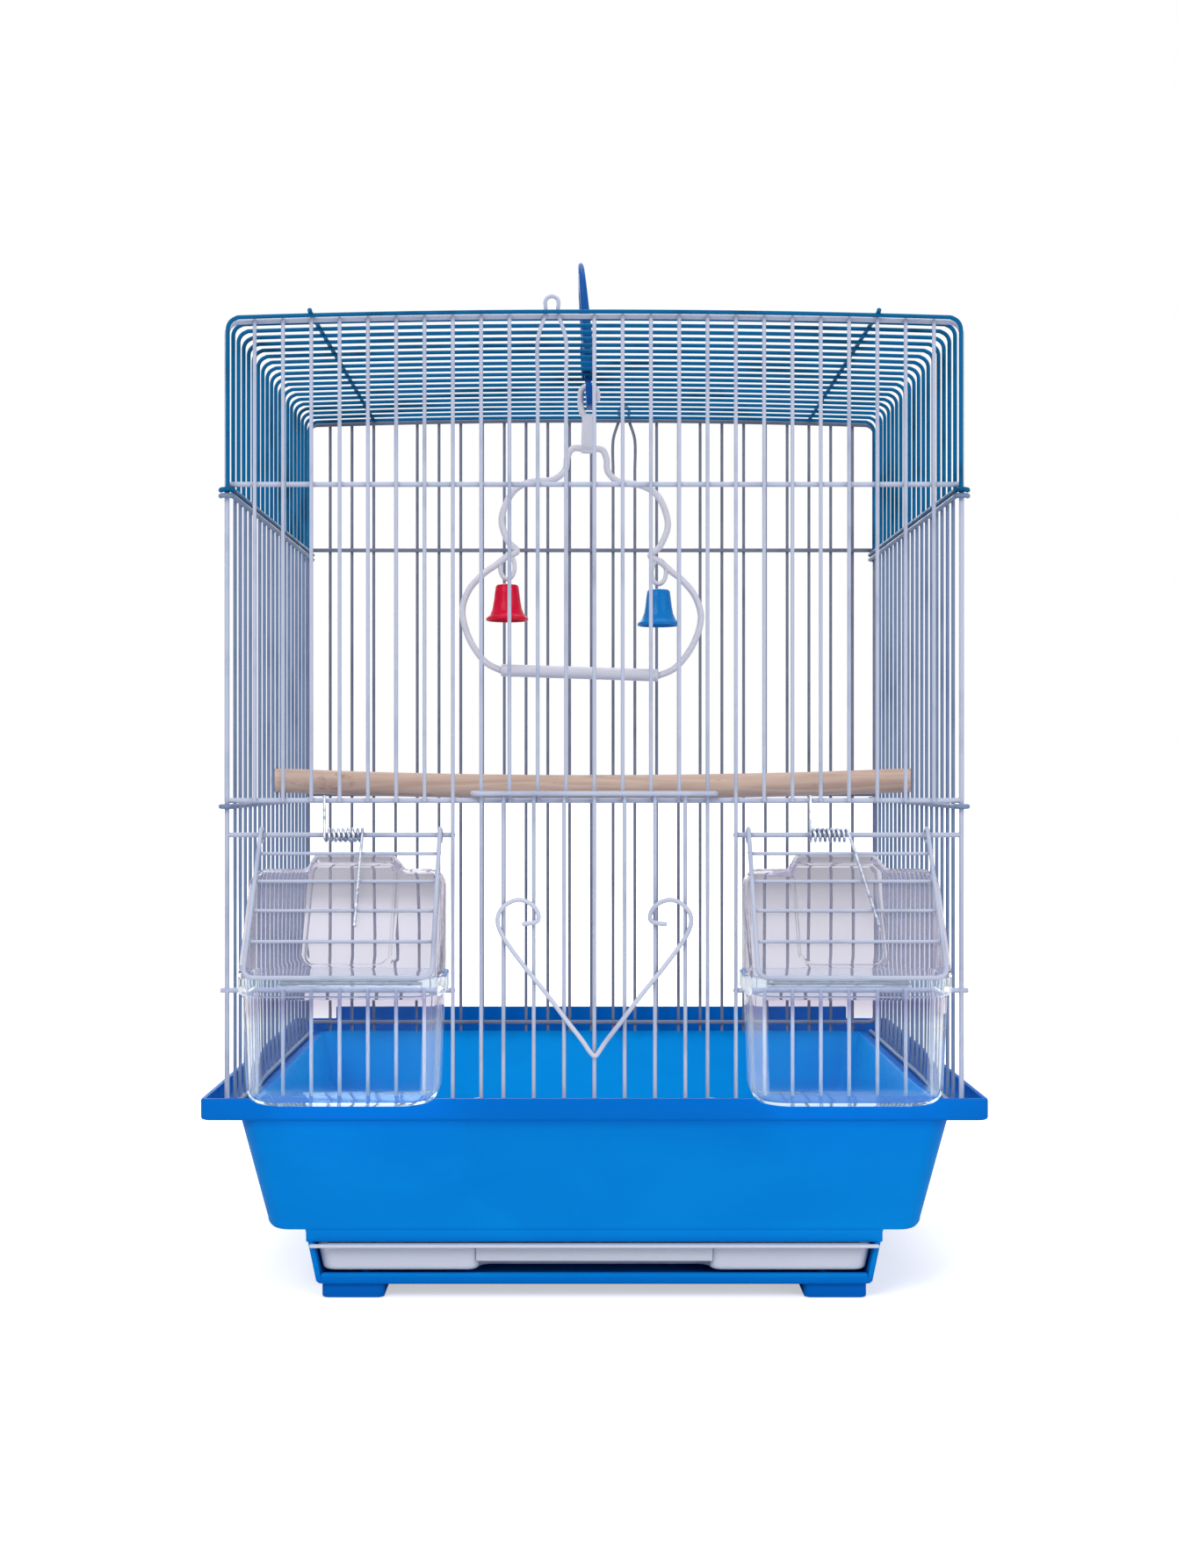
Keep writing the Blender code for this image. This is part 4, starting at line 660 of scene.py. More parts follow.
def flowing(places: Iterable[Sequence[float]], steps: int = 6) -> Ring:
    """A smooth path through all the places given.

    Args:
        places: the places, in order.
        steps: straight pieces between two places.

    Returns:
        The path's points.
    """
    spots = [Vector(place) for place in places]
    points: Ring = []
    for index in range(len(spots) - 1):
        before = spots[max(index - 1, 0)]
        start = spots[index]
        end = spots[index + 1]
        after = spots[min(index + 2, len(spots) - 1)]
        for step in range(steps):
            t = step / steps
            points.append(0.5 * (
                2 * start + (end - before) * t + (2 * before - 5 * start + 4 * end - after) * t ** 2
                + (3 * start - before - 3 * end + after) * t ** 3))
    points.append(spots[-1])
    return points


def level_arc(centre: tuple[float, float], radius: float, start: float, sweep: float, z: float,
              steps: int = 16) -> Ring:
    """Points on a level arc about a centre.

    Args:
        centre: X and Y of the centre.
        radius: the arc's radius.
        start: angle of the first point.
        sweep: angle from the first point to the last.
        z: height of the arc.
        steps: straight pieces in the arc.

    Returns:
        The arc's points, one more than its pieces.
    """
    points: Ring = []
    for step in range(steps + 1):
        angle = start + sweep * step / steps
        points.append(Vector((centre[0] + radius * math.cos(angle), centre[1] + radius * math.sin(angle), z)))
    return points


def crown_arc(x: float, y: float, z: float, radius: float, steps: int) -> Ring:
    """Points from left to right over the upper half of an upright circle about a centre."""
    return [Vector((p.x, y, p.y)) for p in level_arc((x, z), radius, math.pi, -math.pi, 0.0, steps)]


def ellipse(wide: float, tall: float, steps: int) -> list[tuple[float, float]]:
    """Points round an ellipse about the origin."""
    angles = [math.tau * i / steps for i in range(steps)]
    return [(wide * math.cos(angle), tall * math.sin(angle)) for angle in angles]


class Blank:
    """A growing mesh, in millimetres, made of closed solids that are added one at a time."""

    end_run: float = 0.35
    end_size: float = 0.62

    def __init__(self) -> None:
        """Start empty."""
        self.bm = bmesh.new()

    def absorb(self, part: Mesh, matrix: Optional[Matrix] = None) -> None:
        """Add a finished solid, moved by a matrix if given, and drop its own bmesh.

        Args:
            part: the finished solid.
            matrix: moves the finished solid.
        """
        bmesh.ops.recalc_face_normals(part, faces=part.faces)
        if matrix is not None:
            bmesh.ops.transform(part, matrix=matrix, verts=part.verts)
        self.take(part)

    def take(self, part: Mesh) -> None:
        """Add an open sheet as it is, which a modifier gives its wall.

        Args:
            part: the sheet.
        """
        mesh = bpy.data.meshes.new("sheet")
        part.to_mesh(mesh)
        part.free()
        self.bm.from_mesh(mesh)
        bpy.data.meshes.remove(mesh)

    @staticmethod
    def grow(bm: Mesh, ring: list[Vert], places: Sequence[Vector],
             closed: bool = True) -> list[Vert]:
        """Extrude a loop of edges and set its new vertices in their places.

        Args:
            bm: the mesh that holds the loop.
            ring: the loop's vertices in order.
            places: where each new vertex goes.
            closed: whether the loop runs back to its start.

        Returns:
            The new loop's vertices, in the same order.
        """
        following = ring[1:] + ring[:1] if closed else ring[1:]
        edges = [bm.edges.get((a, b)) for a, b in zip(ring, following)]
        made = bmesh.ops.extrude_edge_only(bm, edges=edges)["geom"]
        fresh = {item for item in made if isinstance(item, Vert)}
        result = []
        for vert, place in zip(ring, places):
            new = next(e.other_vert(vert) for e in vert.link_edges if e.other_vert(vert) in fresh)
            new.co = place
            result.append(new)
        return result

    @staticmethod
    def start(bm: Mesh, places: Sequence[Vector]) -> list[Vert]:
        """A first loop, from a circle whose vertices are set in their places.

        Args:
            bm: the mesh that gets the loop.
            places: where each vertex goes.

        Returns:
            The loop's vertices in order.
        """
        ring = bmesh.ops.create_circle(bm, cap_ends=False, segments=len(places), radius=1.0)["verts"]
        for vert, place in zip(ring, places):
            vert.co = place
        return list(ring)

    @staticmethod
    def cap(bm: Mesh, ring: list[Vert]) -> None:
        """Close a loop with one face."""
        edges = [bm.edges.get((a, b)) for a, b in zip(ring, ring[1:] + ring[:1])]
        bmesh.ops.edgeloop_fill(bm, edges=edges)

    def tower(self, rings: Sequence[Ring], joined: bool = False, matrix: Optional[Matrix] = None) -> None:
        """A solid through a stack of outlines, capped at both ends or joined end to end.

        Args:
            rings: the outlines, all with the same number of points.
            joined: whether the last outline runs on into the first.
            matrix: moves the finished solid.
        """
        bm = bmesh.new()
        first = self.start(bm, rings[0])
        last = first
        for places in rings[1:]:
            last = self.grow(bm, last, places)
        if joined:
            for a, b, c, d in zip(first, first[1:] + first[:1], last[1:] + last[:1], last):
                bmesh.ops.contextual_create(bm, geom=[a, b, c, d])
        else:
            self.cap(bm, first)
            self.cap(bm, last)
        self.absorb(bm, matrix)

    def wire(self, path: Sequence[Sequence[float]], radius: float, sides: int = 12, closed: bool = False,
             outline: Optional[Sequence[tuple[float, float]]] = None, up: Optional[Vector] = None,
             matrix: Optional[Matrix] = None) -> None:
        """A wire along a path, with slightly rounded cut ends.

        Args:
            path: points of the centre line.
            radius: the wire's radius; with an outline, the size of its rounded end.
            sides: sides of a round wire.
            closed: whether the path runs back to its start.
            outline: points of a section that isn't round.
            up: direction of the outline's second axis at the start.
            matrix: moves the finished wire.
        """
        spots = [Vector(place) for place in path]
        if outline is None:
            outline = ellipse(radius, radius, sides)
        rings = []
        across: Optional[Vector] = None
        previous: Optional[Vector] = None
        for index, spot in enumerate(spots):
            behind = spots[index - 1] if closed or index else spot
            ahead = spots[(index + 1) % len(spots)] if closed or index < len(spots) - 1 else spot
            into = (spot - behind).normalized() if behind is not spot else (ahead - spot).normalized()
            out = (ahead - spot).normalized() if ahead is not spot else into
            tangent = (into + out).normalized()
            if across is None:
                side = up or (Vector((0, 0, 1)) if abs(tangent.z) < 0.9 else Vector((0, 1, 0)))
                across = side.cross(tangent).normalized()
            else:
                across = previous.rotation_difference(tangent) @ across
            across = (across - tangent * across.dot(tangent)).normalized()
            over = tangent.cross(across)
            previous = tangent
            miter = 1 / max(0.6, math.cos(into.angle(out, 0.0) / 2))
            bend = (out - into).normalized() if (out - into).length > 0.0001 else None
            ring = []
            for u, v in outline:
                offset = across * u + over * v
                if bend is not None:
                    offset += bend * offset.dot(bend) * (miter - 1)
                ring.append(spot + offset)
            rings.append(ring)
        if closed:
            self.tower(rings, True, matrix)
            return
        soft = self.end_run * radius
        for end, inner in ((0, 1), (-1, -2)):
            run = (spots[end] - spots[inner]).normalized()
            tip = [spots[end] + (point - spots[end]) * self.end_size for point in rings[end]]
            rings[end] = [point - run * soft for point in rings[end]]
            if end == 0:
                rings.insert(0, tip)
            else:
                rings.append(tip)
        self.tower(rings, False, matrix)

    def bead(self, centre: Sequence[float], size: Sequence[float], matrix: Optional[Matrix] = None) -> None:
        """A small pool of coating where two wires are welded.

        Args:
            centre: the pool's middle.
            size: its radius along each axis.
            matrix: moves the finished solid.
        """
        bm = bmesh.new()
        bmesh.ops.create_uvsphere(bm, u_segments=10, v_segments=6, radius=1.0)
        bmesh.ops.scale(bm, vec=size, verts=bm.verts)
        bmesh.ops.translate(bm, vec=centre, verts=bm.verts)
        self.absorb(bm, matrix)

    def slab(self, low: Sequence[float], high: Sequence[float], soft: float, steps: int = 2,
             matrix: Optional[Matrix] = None) -> None:
        """A box with all its edges rounded.

        Args:
            low: the box's lowest corner.
            high: its highest corner.
            soft: radius of its edges.
            steps: faces round each edge.
            matrix: moves the finished solid.
        """
        bm = bmesh.new()
        bmesh.ops.create_cube(bm, size=1.0)
        bmesh.ops.scale(bm, vec=[b - a for a, b in zip(low, high)], verts=bm.verts)
        bmesh.ops.translate(bm, vec=[(a + b) / 2 for a, b in zip(low, high)], verts=bm.verts)
        bmesh.ops.bevel(bm, geom=bm.edges[:], offset=soft, segments=steps, affect="EDGES", profile=0.5,
                        material=-1)
        self.absorb(bm, matrix)

    def turned(self, profile: Sequence[tuple[float, float]], steps: int = 40,
               matrix: Optional[Matrix] = None) -> None:
        """A turned shape: a profile in radius and height, spun round the Z axis.

        Args:
            profile: radius and height of each point.
            steps: faces round the axis.
            matrix: moves the finished solid.
        """
        bm = bmesh.new()
        verts = [bm.verts.new((x, 0.0, z)) for x, z in profile]
        edges = [bm.edges.new(pair) for pair in zip(verts, verts[1:])]
        bmesh.ops.spin(bm, geom=verts + edges, cent=(0, 0, 0), axis=(0, 0, 1), angle=math.tau, steps=steps,
                       use_merge=True)
        bmesh.ops.remove_doubles(bm, verts=bm.verts, dist=WELD)
        self.absorb(bm, matrix)


class Workshop:
    """Turns blanks into pieces of the scene, in metres, in the frame's own axes."""

    def __init__(self) -> None:
        """Make the finishes and find the middle of the wire cage."""
        self.finishes = Finishes().made
        low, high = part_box("left_panel")
        self.middle = Vector((0.0, (low.y + high.y) / 2, 0.0))

    def publish(self, blank: Blank, name: str, body: Body, finish: Finish, nodes: Sequence[str] = (),
                crease: float = 38.0) -> bpy.types.Object:
        """Hand a finished piece to the scene.

        Args:
            blank: the piece's solids.
            name: the piece's name.
            body: the body that it rides on.
            finish: what it is made of.
            nodes: CAD nodes that it stands for.
            crease: angle in degrees past which an edge stays sharp.

        Returns:
            The new object.
        """
        bm = blank.bm
        bmesh.ops.scale(bm, vec=(MM, MM, MM), verts=bm.verts)
        bmesh.ops.translate(bm, vec=self.middle, verts=bm.verts)
        mesh = bpy.data.meshes.new(name)
        bm.to_mesh(mesh)
        bm.free()
        mesh.shade_smooth()
        mesh.set_sharp_from_angle(angle=math.radians(crease))
        mesh.materials.append(self.finishes[finish])
        piece = bpy.data.objects.new(name, mesh)
        bpy.context.scene.collection.objects.link(piece)
        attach(piece, body.value)
        if nodes:
            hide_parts(*nodes)
        LOG.info("%s: %d faces on %s", name, len(mesh.polygons), body.value)
        return piece


@dataclass(frozen=True)
class Grid:
    """Wire sizes and the places where the panels' wires run."""

    pitch: float = 11.0
    half_width: float = 143.0
    half_depth: float = 104.5
    thick: float = 1.0
    thin: float = 0.75
    stack: float = 1.35
    inset: float = 0.15
    foot_z: float = 75.0
    top_z: float = 380.4
    eaves_z: float = 317.4
    head_z: float = 194.3
    hinge_z: float = 180.9
    sill_z: float = 120.4
    side_mid_z: float = 192.0
    roof_rail_z: float = 315.1
    side_top_z: float = 312.8
    ridge_z: float = 382.45
    roof_z: float = 381.35
    rail_x: float = 140.65
    side_x: float = 142.0
    hook: float = 2.35
    wire_end: float = 0.6
    bow: float = 2.4
    weld_wide: float = 1.05
    weld_flat: float = 0.85

    def arch(self, x: float) -> float:
        """How far the panels' tops and the roof stand above straight at a place across the cage."""
        return self.bow * (1.0 - (x / self.half_width) ** 2)

    @property
    def front_y(self) -> float:
        """Y of the front panel's upright wires."""
        return -self.half_depth - self.stack

    @property
    def roof_first_y(self) -> float:
        """Y of the first roof wire."""
        return -self.half_depth - self.hook - self.stack


GRID = Grid()


def bowed(path: Ring, level: float) -> Ring:
    """A path whose long level run above a height is arched a little.

    Args:
        path: the path's points.
        level: height that the arched run lies above.

    Returns:
        The arched path's points.
    """
    points: Ring = []
    for here, ahead in zip(path, path[1:] + path[:1]):
        points.append(here)
        if abs(ahead.x - here.x) > 2 * GRID.pitch and min(here.z, ahead.z) > level:
            points.extend(here.lerp(ahead, step / 20) for step in range(1, 20))
    for point in points:
        if point.z > level:
            point.z += GRID.arch(point.x)
    return points


@dataclass
class EndPanels:
    """The front panel, with its openings and hinge rods, and the back panel."""

    corner: float = 4.5
    foot_corner: float = 3.0
    back_foot_z: float = 79.3
    latch_half: float = 2.6
    latch_rise: float = 9.9
    latch_neck: float = 2.7
    latch_splay: float = 7.2
    door_pitches: int = 4
    feeder_pitches: int = 5
    sill_overrun: float = 2.7

    def border(self, blank: Blank, y: float, foot_z: float) -> None:
        """The frame wire all round a panel.

        Args:
            blank: the mesh that it is added to.
            y: Y of the panel's middle.
            foot_z: height of the panel's foot wire.
        """
        top = ((GRID.half_width, y, GRID.top_z), (-GRID.half_width, y, GRID.top_z))
        foot = ((-GRID.half_width, y, foot_z), (GRID.half_width, y, foot_z))
        path = bent((foot[1], top[0], top[1], foot[0]), self.corner, 8)[1:-1]
        path += bent((top[1], foot[0], foot[1], top[0]), self.foot_corner, 4)[1:-1]
        blank.wire(bowed(path, GRID.top_z - HAIR), GRID.thick, closed=True)

    def latch(self, blank: Blank, y: float, side: int, low_z: float) -> None:
        """Two neighbouring uprights that close in a loop over the frame wire.

        Args:
            blank: the mesh that it is added to.
            y: Y of the panel's middle.
            side: -1 for the left of the middle, 1 for the right.
            low_z: height of the uprights' feet.
        """
        left, right = sorted((side * GRID.pitch, 2 * side * GRID.pitch))
        middle = (left + right) / 2
        crown = GRID.top_z + self.latch_rise - self.latch_half
        neck = GRID.top_z + self.latch_neck
        high = GRID.top_z - self.latch_splay
        low = GRID.top_z - 3 * self.latch_splay
        inner, outer = middle - self.latch_half, middle + self.latch_half
        path = [Vector((left, y, low_z))]
        path += flowing(((left, y, low), (left, y, high), (inner, y, neck), (inner, y, crown)), 5)
        path += crown_arc(middle, y, crown, self.latch_half, 16)[1:-1]
        path += flowing(((outer, y, crown), (outer, y, neck), (right, y, high), (right, y, low)), 5)
        path.append(Vector((right, y, low_z)))
        blank.wire(path, GRID.thin)

    def weld(self, blank: Blank, x: float, y: float, z: float) -> None:
        """The pool of coating where an upright crosses a level wire.

        Args:
            blank: the mesh that it is added to.
            x: X of the upright.
            y: Y of the panel's middle.
            z: height of the level wire.
        """
        z += GRID.arch(x) if z == GRID.top_z else 0.0
        seam = y + math.copysign(GRID.stack / 2, y)
        blank.bead((x, seam, z), (GRID.weld_wide, GRID.weld_flat, GRID.weld_wide))

    def upright(self, blank: Blank, x: float, y: float, low: float, high: float,
                crosses: Sequence[float]) -> None:
        """An upright wire with a weld at each level wire that it crosses.

        Args:
            blank: the mesh that it is added to.
            x: X of the wire.
            y: Y of the panel's middle.
            low: height of its lowest weld.
            high: height of its highest weld.
            crosses: heights of the level wires.
        """
        outer = y + math.copysign(GRID.stack, y)
        rise = GRID.arch(x) if high == GRID.top_z else 0.0
        blank.wire(((x, outer, low - GRID.wire_end), (x, outer, high + GRID.wire_end + rise)), GRID.thin)
        for z in crosses:
            if low - 1 <= z <= high + 1:
                self.weld(blank, x, y, z)

    def cross(self, blank: Blank, y: float, z: float, start: float, end: float) -> None:
        """A level wire of a panel."""
        level = y - math.copysign(GRID.inset, y)
        blank.wire(((start, level, z), (end, level, z)), GRID.thick)

    def build(self, shop: Workshop) -> None:
        """Make both panels.

        Args:
            shop: takes the finished pieces.
        """
        half = round(GRID.half_width / GRID.pitch)
        self.build_front(shop, half)
        self.build_back(shop, half)

    def frame(self, blank: Blank, y: float, foot_z: float) -> None:
        """The border of a panel and the two wires right across it.

        Args:
            blank: the mesh that it is added to.
            y: Y of the panel's middle.
            foot_z: height of the panel's foot wire.
        """
        self.border(blank, y, foot_z)
        for z in (GRID.eaves_z, GRID.head_z):
            self.cross(blank, y, z, -GRID.half_width, GRID.half_width)

    def build_front(self, shop: Workshop, half: int) -> None:
        """Make the front panel.

        Args:
            shop: takes the finished pieces.
            half: pitches from the middle to a corner.
        """
        blank = Blank()
        y = -GRID.half_depth
        self.frame(blank, y, GRID.foot_z)
        crosses = (GRID.foot_z, GRID.head_z, GRID.eaves_z, GRID.top_z)
        inner = self.feeder_pitches * GRID.pitch + GRID.wire_end
        for side in (-1, 1):
            self.cross(blank, y, GRID.sill_z, side * inner, side * (GRID.half_width + self.sill_overrun))
            self.cross(blank, y, GRID.hinge_z, side * inner, side * GRID.half_width)
        self.latch(blank, GRID.front_y, -1, GRID.head_z - GRID.wire_end)
        for number in range(1 - half, half):
            x = number * GRID.pitch
            if number in (-1, -2):
                for z in crosses[1:3]:
                    self.weld(blank, x, y, z)
                continue
            if self.door_pitches <= abs(number) <= self.feeder_pitches:
                extra = (GRID.sill_z, GRID.hinge_z) if abs(number) == self.feeder_pitches else ()
                self.upright(blank, x, y, GRID.foot_z, GRID.top_z, crosses + extra)
                continue
            self.upright(blank, x, y, GRID.head_z, GRID.top_z, crosses)
            if abs(number) > self.feeder_pitches:
                self.upright(blank, x, y, GRID.foot_z, GRID.sill_z, (GRID.foot_z, GRID.sill_z))
        shop.publish(blank, "front_wires", Body.CAGE, Finish.COATED_WIRE, ["front_panel"])

    def build_back(self, shop: Workshop, half: int) -> None:
        """Make the back panel.

        Args:
            shop: takes the finished pieces.
            half: pitches from the middle to a corner.
        """
        blank = Blank()
        y = GRID.half_depth
        self.frame(blank, y, self.back_foot_z)
        crosses = (self.back_foot_z, GRID.head_z, GRID.eaves_z, GRID.top_z)
        self.latch(blank, -GRID.front_y, 1, GRID.foot_z - GRID.wire_end)
        for number in range(1 - half, half):
            if number in (1, 2):
                for z in crosses[:3]:
                    self.weld(blank, number * GRID.pitch, y, z)
                continue
            self.upright(blank, number * GRID.pitch, y, GRID.foot_z, GRID.top_z, crosses)
        shop.publish(blank, "back_wires", Body.CAGE, Finish.SHADED_BACK_COAT, ["back_panel"])


def hooked_rail(side: int, z: float) -> Ring:
    """A side rail that hooks round the uprights of the front and back panels.

    Args:
        side: -1 for left, 1 for right.
        z: height of the rail.

    Returns:
        The rail's points, from the front hook to the back hook.
    """
    inner = math.pi if side > 0 else 0.0
    front = level_arc((side * GRID.half_width, -GRID.half_depth), GRID.hook, inner, side * math.pi, z)
    back = level_arc((side * GRID.half_width, GRID.half_depth), GRID.hook, inner, -side * math.pi, z)
    return front[::-1] + back


@dataclass
class SidePanels:
    """The left and right panels, with their uprights outside the rails."""

    gap: float = 0.3

    def build(self, shop: Workshop) -> None:
        """Make both panels.

        Args:
            shop: takes the finished pieces.
        """
        for hand in Hand:
            side = hand.value
            blank = Blank()
            rail, x = side * GRID.rail_x, side * GRID.side_x
            seam = side * (GRID.rail_x + GRID.stack / 2)
            end = GRID.half_depth - GRID.thick - self.gap
            blank.wire(((rail, -end, GRID.foot_z), (rail, end, GRID.foot_z)), GRID.thick)
            for z in (GRID.side_mid_z, GRID.side_top_z):
                blank.wire(hooked_rail(side, z), GRID.thick)
            for number in range(1, round(2 * GRID.half_depth / GRID.pitch)):
                y = number * GRID.pitch - GRID.half_depth
                ends = ((x, y, GRID.foot_z - GRID.wire_end), (x, y, GRID.side_top_z + GRID.wire_end))
                blank.wire(ends, GRID.thin)
                for z in (GRID.foot_z, GRID.side_mid_z, GRID.side_top_z):
                    blank.bead((seam, y, z), (GRID.weld_flat, GRID.weld_wide, GRID.weld_wide))
            shop.publish(blank, hand.word + "_wires", Body.CAGE, Finish.SHADED_SIDE_COAT, [hand.word + "_panel"])


@dataclass
class Roof:
    """The roof's bent wires, its eaves rails and its two ridge rails.

    A row of tip gives run and rise of a ridge rail's bent front end.
    """

    wires: int = 20
    bend: float = 4.5
    ridge_x: float = 110.0
    ridge_wire: float = 0.9
    roof_wire: float = 0.82
    ridge_weld: tuple[float, float, float] = (1.0, 1.0, 0.75)
    eaves_weld: tuple[float, float, float] = (0.85, 1.0, 1.0)
    tip: tuple[tuple[float, float], ...] = ((-2.2, 0.6), (-0.4, 0.05), (3.0, 0.0), (6.0, 0.0))

    def build(self, shop: Workshop) -> None:
        """Make the roof.

        Args:
            shop: takes the finished pieces.
        """
        blank = Blank()
        low = GRID.roof_rail_z - GRID.wire_end
        for number in range(self.wires):
            y = GRID.roof_first_y + number * GRID.pitch
            corners = ((-GRID.side_x, y, low), (-GRID.side_x, y, GRID.roof_z),
                       (GRID.side_x, y, GRID.roof_z), (GRID.side_x, y, low))
            blank.wire(bowed(bent(corners, self.bend, 9), GRID.roof_z - HAIR), self.roof_wire)
            for side in (-1, 1):
                middle = (GRID.roof_z + GRID.ridge_z) / 2 + GRID.arch(self.ridge_x)
                blank.bead((side * self.ridge_x, y, middle), self.ridge_weld)
                if abs(y) < GRID.half_depth:
                    seam = side * (GRID.rail_x + GRID.stack / 2)
                    blank.bead((seam, y, GRID.roof_rail_z), self.eaves_weld)
        for side in (-1, 1):
            x = side * self.ridge_x
            first = GRID.roof_first_y
            level = GRID.ridge_z + GRID.arch(x)
            tip = flowing([(x, first + run, level + rise) for run, rise in self.tip], 4)
            blank.wire(tip + [Vector((x, GRID.half_depth + GRID.stack, level))], self.ridge_wire)
            blank.wire(hooked_rail(side, GRID.roof_rail_z), GRID.thick)
        shop.publish(blank, "roof_wires", Body.CAGE, Finish.ROOF_COAT, ["roof_panel"])


@dataclass
class LiftDoor:
    """The door that slides up its two guide wires, and the wire heart on it.

    A row of heart_shares is a place on the heart, in shares of its half width and its rise.
    """

    wires: int = 7
    pitch: float = 11.75
    wire_y: float = -107.65
    bar_y: float = -109.0
    low_z: float = 77.4
    high_z: float = 197.0
    guide_x: float = 44.0
    heart_y: float = -109.6
    heart_wire: float = 0.9
    heart_half: float = 37.8
    heart_foot: float = 95.6
    heart_rise: float = 60.4
    heart_shares: tuple[tuple[float, float], ...] = (
        (0.005, 0.0), (0.05, 0.03), (0.12, 0.095), (0.297, 0.238), (0.482, 0.392), (0.70, 0.56), (0.89, 0.72),
        (0.965, 0.803), (0.99, 0.866), (0.967, 0.925), (0.89, 0.975), (0.787, 1.0), (0.69, 0.987),
        (0.615, 0.955), (0.572, 0.905), (0.58, 0.866), (0.65, 0.85), (0.742, 0.844),
    )

    def build(self, shop: Workshop) -> None:
        """Make the door and its heart.

        Args:
            shop: takes the finished pieces.
        """
        blank = Blank()
        reach = GRID.front_y - self.bar_y
        for z in (self.low_z, self.high_z):
            left = level_arc((-self.guide_x, GRID.front_y), reach, math.pi / 2, math.pi, z)
            right = level_arc((self.guide_x, GRID.front_y), reach, -math.pi / 2, math.pi, z)
            blank.wire(left + right, GRID.thick)
        for number in range(self.wires):
            x = (number - (self.wires - 1) / 2) * self.pitch
            low, high = self.low_z - GRID.wire_end, self.high_z + GRID.wire_end
            blank.wire(((x, self.wire_y, low), (x, self.wire_y, high)), GRID.thin)
            for z in (self.low_z, self.high_z):
                seam = (self.wire_y + self.bar_y) / 2
                blank.bead((x, seam, z), (GRID.weld_wide, GRID.weld_flat, GRID.weld_wide))
        shop.publish(blank, "door_wires", Body.DOOR, Finish.COATED_WIRE, ["lift_door"])
        heart = Blank()
        half = [(x * self.heart_half, self.heart_y, self.heart_foot + z * self.heart_rise)
                for x, z in self.heart_shares]
        other = [(-x, y, z) for x, y, z in half[:0:-1]]
        heart.wire(flowing(other + half, 6), self.heart_wire, 14)
        shop.publish(heart, "heart_wire", Body.DOOR, Finish.LIT_HEART_COAT, ["door_heart"])


